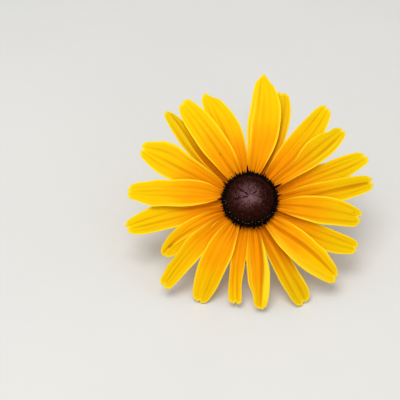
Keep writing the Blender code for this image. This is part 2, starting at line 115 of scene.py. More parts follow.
def polar(radius: float, degrees: float) -> np.ndarray:
    """The point at this radius and angle in the petals' plane."""
    return np.array([radius * cos(radians(degrees)), radius * sin(radians(degrees))])


def round_angles(count: int) -> np.ndarray:
    """Evenly spaced angles of a whole turn, in radians."""
    return 2.0 * pi * np.arange(count) / count


def spokes(angles: np.ndarray) -> np.ndarray:
    """Unit vectors in the petals' plane: the cosine and the sine of each angle, in radians."""
    return np.stack([np.cos(angles), np.sin(angles)], axis=-1)


def grid_quads(rows: int, columns: int, wrap: bool) -> np.ndarray:
    """Quads between the neighbours of a grid of points.

    Args:
        rows: How many rows of points there are.
        columns: How many points a row has.
        wrap: Whether the last column joins the first.

    Returns:
        Rows of four point numbers: along the row, up to the next row, and back.
    """
    index = np.arange(rows * columns).reshape(rows, columns)
    if wrap:
        index = np.concatenate([index, index[:, :1]], axis=1)
    corners = (index[:-1, :-1], index[:-1, 1:], index[1:, 1:], index[1:, :-1])
    return np.stack(corners, axis=-1).reshape(-1, 4)


def closed_rings(
    rings: np.ndarray, foot: np.ndarray, tip: np.ndarray, values: dict[str, np.ndarray]
) -> Shape:
    """A closed skin over a stack of rings, with a fan of triangles at each end.

    Args:
        rings: Points as (ring, place round the ring, xyz), counter-clockwise seen from the tip.
        foot: The point that closes the first ring.
        tip: The point that closes the last ring.
        values: Named values, one number for each ring.

    Returns:
        The closed shape, whose foot and tip take the values of the rings next to them.
    """
    count, sides = rings.shape[:2]
    places = np.arange(sides)
    after = np.roll(places, -1)
    last = (count - 1) * sides
    feet = np.full(sides, count * sides)
    triangles = np.concatenate(
        [np.stack([feet, after, places], 1), np.stack([feet + 1, last + places, last + after], 1)]
    )
    spread = {name: np.concatenate([np.repeat(v, sides), v[[0, -1]]]) for name, v in values.items()}
    points = np.concatenate([rings.reshape(-1, 3), foot[None], tip[None]])
    return Shape(points, grid_quads(count, sides, True), triangles, spread)


def turned_rings(profile: np.ndarray, sides: int) -> np.ndarray:
    """Rings about +Z, each at the radius times the cosine and the sine of evenly spaced angles.

    Args:
        profile: Rows of radius and height.
        sides: How many points a ring has.

    Returns:
        Points as (ring, place round the ring, xyz).
    """
    flat = profile[:, None, :1] * spokes(round_angles(sides))
    height = np.broadcast_to(profile[:, None, 1:], (len(profile), sides, 1))
    return np.concatenate([flat, height], axis=2)


def turned_shape(profile: np.ndarray, sides: int, values: dict[str, np.ndarray]) -> Shape:
    """A profile turned about +Z and closed on the axis at both ends.

    Args:
        profile: Rows of radius and height, upwards.
        sides: How many points a ring has.
        values: Named values, one number for each ring.

    Returns:
        The closed shape.
    """
    foot = np.array([0.0, 0.0, profile[0, 1]])
    tip = np.array([0.0, 0.0, profile[-1, 1]])
    return closed_rings(turned_rings(profile, sides), foot, tip, values)


def turned_loop(profile: np.ndarray, sides: int, values: dict[str, np.ndarray]) -> Shape:
    """A hoop: a profile turned about +Z, with its last ring joined to its first.

    Args:
        profile: Rows of radius and height, counter-clockwise with the radius to the right and the height up.
        sides: How many points a ring has.
        values: Named values, one number for each ring.

    Returns:
        The closed hoop.
    """
    count = len(profile) * sides
    quads = grid_quads(len(profile) + 1, sides, True)
    quads = np.where(quads >= count, quads - count, quads)
    spread = {name: np.repeat(value, sides) for name, value in values.items()}
    return Shape(turned_rings(profile, sides).reshape(-1, 3), quads, NO_TRIANGLES, spread)


def closed_sheet(top: np.ndarray, bottom: np.ndarray, values: dict[str, np.ndarray]) -> Shape:
    """A thin blade: an upper face, a lower face and a rim of quads between their edges.

    Args:
        top: Upper points as (row along, column from the right edge to the left, xyz).
        bottom: Lower points on the same grid.
        values: Named values, one number for each point of the grid.

    Returns:
        The closed blade with its faces outwards.
    """
    rows, columns = top.shape[:2]
    count = rows * columns
    index = np.arange(count).reshape(rows, columns)
    rim = np.concatenate([index[:-1, 0], index[-1, :-1], index[:0:-1, -1], index[0, :0:-1]])
    after = np.roll(rim, -1)
    face = grid_quads(rows, columns, False)
    side = np.stack([rim, rim + count, after + count, after], axis=1)
    quads = np.concatenate([face[:, ::-1], face + count, side])
    points = np.concatenate([top.reshape(-1, 3), bottom.reshape(-1, 3)])
    twice = {name: np.tile(value.ravel(), 2) for name, value in values.items()}
    return Shape(points, quads, NO_TRIANGLES, twice)


def frames_along(heading: np.ndarray, spin: np.ndarray, sizes: np.ndarray) -> np.ndarray:
    """Axes for copies of a small shape whose own length runs along +Z.

    Args:
        heading: One unit vector for each copy, the way that its length points.
        spin: How far each copy is turned about its heading, in radians.
        sizes: Half width, half thickness and length of each copy, in millimetres.

    Returns:
        Arrays of three rows: the heading's normals, turned by the spin, and the heading, each times its size.
    """
    helper = np.where(np.abs(heading[:, 2:]) > 0.9, (1.0, 0.0, 0.0), (0.0, 0.0, 1.0))
    side = unit_rows(np.cross(heading, helper))
    lift = np.cross(heading, side)
    turn_cos, turn_sin = np.cos(spin)[:, None], np.sin(spin)[:, None]
    axes = np.stack([side * turn_cos + lift * turn_sin, lift * turn_cos - side * turn_sin, heading], axis=1)
    return axes * sizes[:, :, None]


def stamped(shape: Shape, places: np.ndarray, frames: np.ndarray, values: dict[str, np.ndarray]) -> Shape:
    """Copies of a small shape: each copy's points are its place plus the shape's points times its frame.

    Args:
        shape: The small shape.
        places: Where each copy's own origin goes.
        frames: Each copy's three axes as rows.
        values: Named values, one number for each copy.

    Returns:
        All the copies as one shape, with the small shape's values and the copies'.
    """
    copies, count = len(places), len(shape.points)
    points = places[:, None] + np.einsum("pi,kij->kpj", shape.points, frames)
    moved = (np.arange(copies) * count)[:, None, None]
    spread = {name: np.tile(value, copies) for name, value in shape.values.items()}
    spread |= {name: np.repeat(value, count) for name, value in values.items()}
    return Shape(
        points.reshape(-1, 3),
        (shape.quads[None] + moved).reshape(-1, 4),
        (shape.triangles[None] + moved).reshape(-1, 3),
        spread,
    )


def needle_shape(sides: int, bend: float, stations: tuple = (0.0, 0.45, 0.8)) -> Shape:
    """A hair of length one and radius one, whose rings narrow evenly towards its point.

    Args:
        sides: How many points a ring has.
        bend: How far the point leans over. A ring leans by the bend times the square of its place.
        stations: Places of the rings, from the foot at 0 to the point at 1.

    Returns:
        The hair along +Z.
    """
    along = np.array(stations)
    rings = turned_rings(np.stack([1.0 - 0.75 * along, along], axis=1), sides)
    rings[..., 0] += bend * along[:, None] ** 2
    return closed_rings(rings, np.zeros(3), np.array([bend, 0.0, 1.0]), {"along": along})


def scale_shape(sides: int) -> Shape:
    """A pointed scale of length one and radius one, widest at a third of its length.

    Args:
        sides: How many points a ring has.

    Returns:
        The scale along +Z.
    """
    profile = np.array([[0.55, 0.0], [1.0, 0.3], [0.72, 0.68]])
    rings = turned_rings(profile, sides)
    return closed_rings(rings, np.zeros(3), np.array([0.0, 0.0, 1.0]), {"along": profile[:, 1]})


def seeded(seed: int) -> np.random.Generator:
    """A source of random numbers that gives the same numbers on each run."""
    return np.random.default_rng(seed)


# The head's place in the world


@dataclass(frozen=True)
class HeadFrame:
    """The flower head's frame: tilted about X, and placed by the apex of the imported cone."""

    origin: np.ndarray
    turn: np.ndarray
    tilt_deg: float = 38.0
    cone_top: float = 8.9

    @classmethod
    def from_cone(cls, node: bpy.types.Object) -> "HeadFrame":
        """Finds the head from its cone.

        Args:
            node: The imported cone, whose farthest point along the head's +Z is the apex.

        Returns:
            The frame whose origin is the cone's height below the apex.
        """
        turn = np.array(Matrix.Rotation(radians(cls.tilt_deg), 3, "X"))
        flat = np.empty(3 * len(node.data.vertices), np.float32)
        node.data.vertices.foreach_get("co", flat)
        points = flat.reshape(-1, 3).astype(float)
        apex = points[np.argmax(points @ turn[:, 2])]
        return cls(apex - turn[:, 2] * cls.cone_top * MM, turn)

    @property
    def height(self) -> float:
        """How high the head's middle is above the surface, in millimetres."""
        return float(self.origin[2] / MM)

    def to_world(self, points: np.ndarray) -> np.ndarray:
        """Points in the head's frame, in millimetres, as world points in metres."""
        return points @ self.turn.T * MM + self.origin

    def from_upright(self, points: np.ndarray) -> np.ndarray:
        """Points in an upright frame under the head's middle, in millimetres, as points in its own frame."""
        return (points - (0.0, 0.0, self.height)) @ self.turn

    def height_of(self, points: np.ndarray) -> np.ndarray:
        """How high points of the head's frame are above the surface, in millimetres."""
        return points @ self.turn[2] + self.height


def add_piece(
    head: HeadFrame, name: str, shape: Shape, material: bpy.types.Material, node: Node
) -> None:
    """Makes one piece of the flower from a shape.

    Args:
        head: The frame that the shape's points are in.
        name: The piece's name.
        shape: The shape, whose named values become attributes of its points.
        material: The finish.
        node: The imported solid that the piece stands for.
    """
    mesh = bpy.data.meshes.new(name)
    mesh.from_pydata(head.to_world(shape.points), [], shape.quads.tolist() + shape.triangles.tolist())
    for label, value in shape.values.items():
        attribute = mesh.attributes.new(label, "FLOAT", "POINT")
        attribute.data.foreach_set("value", value.astype(np.float32))
    mesh.materials.append(material)
    mesh.update()
    mesh.shade_smooth()
    piece = bpy.data.objects.new(name, mesh)
    bpy.context.scene.collection.objects.link(piece)
    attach(piece, "root")
    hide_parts(node.value)
    LOG.info("%s: %d triangles", name, 2 * len(shape.quads) + len(shape.triangles))


# Finishes


class Blend(Enum):
    """How a second colour goes on a first."""

    COVER = "MIX"
    MULTIPLY = "MULTIPLY"


class Value:
    """One output of a shader node. Plain operators on it add Math nodes."""

    def __init__(self, graph: "Graph", socket: bpy.types.NodeSocket) -> None:
        """Keeps the socket and the graph that it is in."""
        self.graph = graph
        self.socket = socket

    def __add__(self, other: "Value | float") -> "Value":
        """The sum."""
        return self.graph.maths("ADD", self, other)

    def __sub__(self, other: "Value | float") -> "Value":
        """The difference."""
        return self.graph.maths("SUBTRACT", self, other)

    def __rsub__(self, other: float) -> "Value":
        """The difference, the other way round."""
        return self.graph.maths("SUBTRACT", other, self)

    def __mul__(self, other: "Value | float") -> "Value":
        """The product."""
        return self.graph.maths("MULTIPLY", self, other)

    def __abs__(self) -> "Value":
        """The value without its sign."""
        return self.graph.maths("ABSOLUTE", self, 0.0)

    __radd__ = __add__
    __rmul__ = __mul__

    def at_least(self, other: "Value") -> "Value":
        """The greater of the two."""
        return self.graph.maths("MAXIMUM", self, other)

    def between(self, low: float, high: float) -> "Value":
        """0 at the low value and 1 at the high one, smooth between and clamped beyond."""
        inputs = {"Value": self, "From Min": low, "From Max": high}
        return self.graph.node("ShaderNodeMapRange", {"interpolation_type": "SMOOTHSTEP"}, inputs)


class Graph:
    """The shader nodes of one material."""

    def __init__(self, name: str) -> None:
        """Starts an empty material.

        Args:
            name: The material's name.
        """
        self.material = bpy.data.materials.new(name)
        self.material.use_nodes = True
        self.tree = self.material.node_tree
        self.tree.nodes.clear()

    def node(self, kind: str, settings: dict[str, Any], inputs: dict[Any, Any], output: int = 0) -> Value:
        """Adds a node.

        Args:
            kind: Blender's name of the node type.
            settings: The node's own settings, set first. A ramp's "stops" are rows of position and colour.
            inputs: Values, or links from other nodes, by the socket's name or number.
            output: The number of the output that is wanted.

        Returns:
            That output.
        """
        node = self.tree.nodes.new(kind)
        stops = settings.get("stops", ())
        for name, setting in settings.items():
            if name != "stops":
                setattr(node, name, setting)
        for number, (position, color) in enumerate(stops):
            elements = node.color_ramp.elements
            element = elements[number] if number < 2 else elements.new(position)
            element.position = position
            element.color = (*color, 1.0)
        for name, value in inputs.items():
            if isinstance(value, Value):
                self.tree.links.new(value.socket, node.inputs[name])
            else:
                node.inputs[name].default_value = value
        return Value(self, node.outputs[output])

    def maths(self, operation: str, first: Value | float, second: Value | float) -> Value:
        """One Math node on two values."""
        return self.node("ShaderNodeMath", {"operation": operation}, {0: first, 1: second})

    def attribute(self, name: str) -> Value:
        """A named value of the mesh's points."""
        return self.node("ShaderNodeAttribute", {"attribute_name": name}, {}, 2)

    def place(self) -> Value:
        """The point's Object coordinates."""
        return self.node("ShaderNodeTexCoord", {}, {}, 3)

    def vector(self, x: Value | float, y: Value | float, z: Value | float) -> Value:
        """A vector from three numbers."""
        return self.node("ShaderNodeCombineXYZ", {}, {"X": x, "Y": y, "Z": z})

    def noise(self, vector: Value, scale: float, detail: float = 2.0) -> Value:
        """Smooth noise between 0 and 1."""
        return self.node("ShaderNodeTexNoise", {}, {"Vector": vector, "Scale": scale, "Detail": detail})

    def ramp(self, value: Value, stops: tuple) -> Value:
        """The colour at this value between the stops."""
        return self.node("ShaderNodeValToRGB", {"stops": stops}, {"Fac": value})

    def mix(
        self, share: Value | float, first: Value | tuple, second: Value | tuple, blend: Blend = Blend.COVER
    ) -> Value:
        """Two colours mixed.

        Args:
            share: How much the second colour counts, from 0 to 1.
            first: The first colour, as a link or as three numbers.
            second: The second colour, likewise.
            blend: How the second colour goes on the first.

        Returns:
            The mixed colour.
        """
        colors = {6: first, 7: second}
        inputs = {socket: c if isinstance(c, Value) else (*c, 1.0) for socket, c in colors.items()}
        settings = {"data_type": "RGBA", "blend_type": blend.value}
        return self.node("ShaderNodeMix", settings, {0: share, **inputs}, 2)

    def bump(self, height: Value, depth: float, before: Value | None = None) -> Value:
        """A normal tilted by the slope of a height.

        Args:
            height: The height, from 0 to 1.
            depth: How far a height of 1 stands out, in metres.
            before: The normal to start from, where it isn't the surface's own.

        Returns:
            The tilted normal.
        """
        inputs = {"Height": height, "Distance": depth, "Strength": 1.0}
        if before:
            inputs["Normal"] = before
        return self.node("ShaderNodeBump", {}, inputs)

    def finished(self, **inputs: Any) -> bpy.types.Material:
        """Ends the graph in a Principled shader.

        Args:
            inputs: The shader's sockets, with an underscore for each space in their names.

        Returns:
            The material.
        """
        sockets = {name.replace("_", " "): value for name, value in inputs.items()}
        shader = self.node("ShaderNodeBsdfPrincipled", {}, sockets)
        self.node_output(shader)
        return self.material

    def node_output(self, shader: Value) -> None:
        """Links a shader to the material's output."""
        output = self.tree.nodes.new("ShaderNodeOutputMaterial")
        self.tree.links.new(shader.socket, output.inputs["Surface"])


@dataclass(frozen=True)
class PetalFinish:
    """Ray petals: orange at the root, golden in the middle and yellow at the tip.

    Rims, tips and ridges are paler, a painted highlight, and flaps are paler, partly for their own paler
    underside and partly as painted highlight. Grooves, petals that lie low and the places under a
    neighbour's edge are darker, all painted shade. Dark lines, painted shade of the creases by the disc,
    and a few specks lie near the root.
    """

    root: tuple = (0.93, 0.285, 0.0004)
    inner: tuple = (0.94, 0.355, 0.0004)
    golden: tuple = (0.92, 0.50, 0.0004)
    tip: tuple = (0.92, 0.62, 0.0006)
    # painted highlight: the pale colour of rims, tips, ridges and flaps
    rim: tuple = (1.0, 0.76, 0.02)
    # painted shade: the darker amber put into the furrows
    groove: tuple = (0.60, 0.17, 0.0003)
    # painted shade: the factor that darkens petals that lie low
    low: tuple = (0.52, 0.68, 0.5)
    shaded: tuple = (0.42, 0.07, 0.0003)
    gloss_tint: tuple = (1.0, 0.72, 0.10, 1.0)
    speck: tuple = (0.16, 0.045, 0.006)
    ramp_per_mm: float = 0.02
    vein_depth: float = 0.00008
    cell_scale: float = 5200.0
    cell_depth: float = 0.00002

    def material(self) -> bpy.types.Material:
        """The petals' material, from the named values of their points.

        The place on the colour ramp is the radius less the warmth, and noise moves it both ways. Noise on
        the place across, the radius and the tint is drawn out along each petal.

        Returns:
            The material.
        """
        graph = Graph("petal_yellow_fine")
        radius = graph.attribute("radius")
        across = graph.attribute("across")
        tint = graph.attribute("tint")
        fibres = graph.noise(graph.vector(across * 6.0, radius * 0.05, tint * 40.0), 1.0)
        patches = graph.noise(graph.vector(across * 1.6, radius * 0.16, tint * 70.0), 1.0)
        reach = radius - graph.attribute("warmth") + (fibres - 0.5) * 6.0 + (patches - 0.5) * 7.0
        stops = ((0.15, self.root), (0.44, self.inner), (0.60, self.golden), (0.90, self.tip))
        color = graph.ramp(reach * self.ramp_per_mm, stops)
        # painted shade: darker in the furrows, by the groove value
        color = graph.mix(graph.attribute("groove") * 0.6, color, self.groove)
        # painted shade: petals that lie low are darker
        color = graph.mix(graph.attribute("tone"), color, self.low, Blend.MULTIPLY)
        color = graph.mix(graph.attribute("shade") * 0.65, color, self.shaded)

        # painted highlight along the rims and tips and on the ridges; on the raised flaps partly their own
        # paler underside and partly painted highlight
        edge = abs(across).between(0.80, 0.96) * radius.between(8.0, 20.0)
        edge = edge.at_least(graph.attribute("end").between(0.96, 0.99))
        light = (edge * 0.75).at_least(graph.attribute("flap") * radius.between(9.0, 18.0) * 0.8)
        light = light.at_least(graph.attribute("ridge") * radius.between(10.0, 22.0) * 0.7)
        color = graph.mix(light, color, self.rim)

        # painted shade: dark lines in the shaded colour near the disc, for the creases between the roots
        lines = graph.noise(graph.vector(across * 6.0, radius * 0.03, tint * 60.0), 1.0, 1.0)
        lines = lines.between(0.46, 0.66) * (1.0 - radius.between(10.0, 19.0))
        color = graph.mix(lines * 0.6, color, self.shaded)
        spots = graph.noise(graph.vector(across * 5.0, radius * 1.1, tint * 90.0), 1.6, 1.0)
        spots = spots.between(0.765, 0.80) * (1.0 - radius.between(17.0, 30.0))
        color = graph.mix(spots * 0.5 + graph.attribute("blemish"), color, self.speck)

        veins = graph.noise(graph.vector(across * 12.0, radius * 0.10, tint * 20.0), 1.0, 1.0)
        normal = graph.bump(veins, self.vein_depth)
        normal = graph.bump(graph.noise(graph.place(), self.cell_scale, 1.0), self.cell_depth, normal)
        return graph.finished(
            Base_Color=color,
            Roughness=0.46 + fibres * 0.16,
            Normal=normal,
            Specular_IOR_Level=0.2,
            Specular_Tint=self.gloss_tint,
        )


@dataclass(frozen=True)
class ConeFinish:
    """Closed florets: dark maroon low on the dome, mauve and fuzzy towards its top, where pale tips are
    partly painted sheen.
    """

    low: tuple = (0.030, 0.0058, 0.0024)
    middle: tuple = (0.085, 0.018, 0.010)
    top: tuple = (0.19, 0.075, 0.088)
    # pale tips near the top: partly the hairs' own colour, partly painted sheen
    fuzz_and_sheen: tuple = (0.74, 0.42, 0.47)
    mottle_scale: float = 900.0
    grain_scale: float = 4200.0
    grain_depth: float = 0.00004

    def material(self, name: str, fuzzy: float) -> bpy.types.Material:
        """The dome's material.

        Args:
            name: The material's name.
            fuzzy: How much of the pale colour of the hairs and their painted sheen covers the colour, from 0
                to 1.

        Returns:
            The material, from the mauve, the tint and the place along each scale or hair.
        """
        graph = Graph(name)
        mauve = graph.attribute("mauve")
        tint = graph.attribute("tint")
        mottle = graph.noise(graph.place(), self.mottle_scale, 3.0)
        share = mauve + (mottle - 0.5) * 0.5 + (tint - 0.5) * (0.2 + 0.8 * fuzzy)
        color = graph.ramp(share, ((0.02, self.low), (0.42, self.middle), (0.85, self.top)))
        # partly painted sheen: paler towards the tips of scales and hairs near the top
        lit = graph.attribute("along") * share.between(0.48, 1.15) * fuzzy
        color = graph.mix(lit, color, self.fuzz_and_sheen)
        return graph.finished(
            Base_Color=color,
            Roughness=0.78 + mottle * 0.15,
            Normal=graph.bump(graph.noise(graph.place(), self.grain_scale), self.grain_depth),
            Specular_IOR_Level=0.06,
        )


@dataclass(frozen=True)
class FloretFinish:
    """Open florets: nearly black tubes with a little brown at their mouths."""

    tube: tuple = (0.0045, 0.0018, 0.0012)
    mouth: tuple = (0.016, 0.006, 0.004)
    mottle_scale: float = 1500.0
    grain_scale: float = 3800.0
    grain_depth: float = 0.00004

    def material(self) -> bpy.types.Material:
        """The ring's material, browner towards each floret's tip.

        Returns:
            The material, from the place along each floret and noise.
        """
        graph = Graph("floret_black_fine")
        mottle = graph.noise(graph.place(), self.mottle_scale, 3.0)
        share = graph.attribute("along") * (0.25 + 0.6 * mottle)
        return graph.finished(
            Base_Color=graph.mix(share, self.tube, self.mouth),
            Roughness=0.62 + mottle * 0.2,
            Normal=graph.bump(graph.noise(graph.place(), self.grain_scale), self.grain_depth),
            Specular_IOR_Level=0.05,
        )


@dataclass(frozen=True)
class PlainFinish:
    """A natural surface of two close colours, mottled, with a fine grain."""

    name: str
    first: tuple
    second: tuple
    roughness: float
    mottle_scale: float = 700.0
    grain_scale: float = 4000.0
    grain_depth: float = 0.00003

    def material(self) -> bpy.types.Material:
        """The surface's material.

        Returns:
            The material, from noise on the Object coordinates.
        """
        graph = Graph(self.name)
        mottle = graph.noise(graph.place(), self.mottle_scale, 3.0)
        grain = graph.noise(graph.place(), self.grain_scale)
        return graph.finished(
            Base_Color=graph.mix(mottle.between(0.3, 0.7), self.first, self.second),
            Roughness=self.roughness - 0.1 + mottle * 0.2,
            Normal=graph.bump(grain, self.grain_depth),
            Specular_IOR_Level=0.35,
        )


STIGMA_PALE = PlainFinish("stigma_pale", (0.30, 0.33, 0.22), (0.18, 0.19, 0.12), 0.6)
HAIR_PALE = PlainFinish("hair_pale", (0.50, 0.56, 0.38), (0.36, 0.44, 0.24), 0.55)
CUT_PALE = PlainFinish("cut_end_pale", (0.52, 0.60, 0.34), (0.38, 0.48, 0.22), 0.5, 1800.0)
COLLAR_GREENISH = PlainFinish("collar_greenish", (0.55, 0.30, 0.01), (0.42, 0.34, 0.03), 0.6)
FLOOR_PALE = PlainFinish("floor_pale", (0.74, 0.74, 0.72), (0.76, 0.755, 0.735), 0.85, 9.0, 120.0, 0.0002)


@dataclass(frozen=True)
class GreenFinish:
    """Stem, receptacle and bracts: fresh green with paler lines along them and a brown flush."""

    deep: tuple = (0.062, 0.155, 0.022)
    fresh: tuple = (0.15, 0.29, 0.055)
    flush: tuple = (0.20, 0.10, 0.035)
    mottle_scale: float = 420.0
    flush_scale: float = 160.0
    grain_scale: float = 2600.0
    grain_depth: float = 0.00006

    def material(self) -> bpy.types.Material:
        """The green growth's material.

        Returns:
            The material, from the place across, the place along and noise.
        """
        graph = Graph("stem_green_fine")
        mottle = graph.noise(graph.place(), self.mottle_scale, 3.0)
        streaks = graph.vector(graph.attribute("across") * 14.0, graph.attribute("along") * 3.0, 0.0)
        lines = graph.noise(streaks, 1.0)
        color = graph.mix(lines * 0.6 + mottle * 0.4, self.deep, self.fresh)
        flushed = graph.noise(graph.place(), self.flush_scale).between(0.58, 0.75) * 0.4
        color = graph.mix(flushed, color, self.flush)
        return graph.finished(
            Base_Color=color,
            Roughness=0.55 + mottle * 0.15,
            Normal=graph.bump(graph.noise(graph.place(), self.grain_scale, 3.0), self.grain_depth),
            Specular_IOR_Level=0.3,
        )


# Ray petals


@dataclass(frozen=True)
class Groove:
    """A lengthwise furrow, or with a depth below zero a ridge, in millimetres.

    Its places across, from -1 at the petal's right edge to 1 at its left, are for the root, the middle
    and the tip. The step is how much higher the petal is to the left of it (below zero, to the right),
    where it catches the light.
    """

    at_root: float
    at_middle: float
    at_tip: float
    depth: float = 0.25
    width: float = 0.09
    step: float = 0.0


@dataclass(frozen=True)
class Petal:
    """One ray petal, in millimetres and in degrees counter-clockwise about the flower's axis.

    Its middle line passes through the root, the middle and the tip angle. The layer is the height of
    its surface between its neighbours', and the droop is how far its tip hangs down. The fold is the
    depth of its trough (below zero, of its ridge), which runs along the crease, from -1 at its right
    edge to 1 at its left. The wave is how far its edges swing up and down. The notch, the point and the
    skew cut the end back, and the overrun is how far past the tip its sides would meet. The trims are
    rows of share along and millimetres by which an edge stands out. The tilt is how much higher the
    left edge is than the middle. The low shade, from 0 to 1, is painted shade that darkens a petal that
    lies low, the shading is how strongly the painted shade under its neighbours' edges darkens it, and
    the warmth is how many millimetres further out its orange runs. The marks are rows of share along,
    place across, half length as a share, half width as a share of half the petal, and darkness.
    """

    root_deg: float
    middle_deg: float
    tip_deg: float
    reach: float
    width: float
    layer: float
    droop: float = 2.4
    fold: float = 0.25
    crease: float = 0.0
    wave: float = 0.25
    notch: float = 0.9
    point: float = 0.5
    skew: float = 0.3
    widest: float = 0.55
    overrun: float = 0.08
    tilt: float = 0.0
    tone: float = 0.0
    shading: float = 0.25
    warmth: float = 0.0
    right_trim: tuple = ()
    left_trim: tuple = ()
    grooves: tuple = ()
    marks: tuple = ()


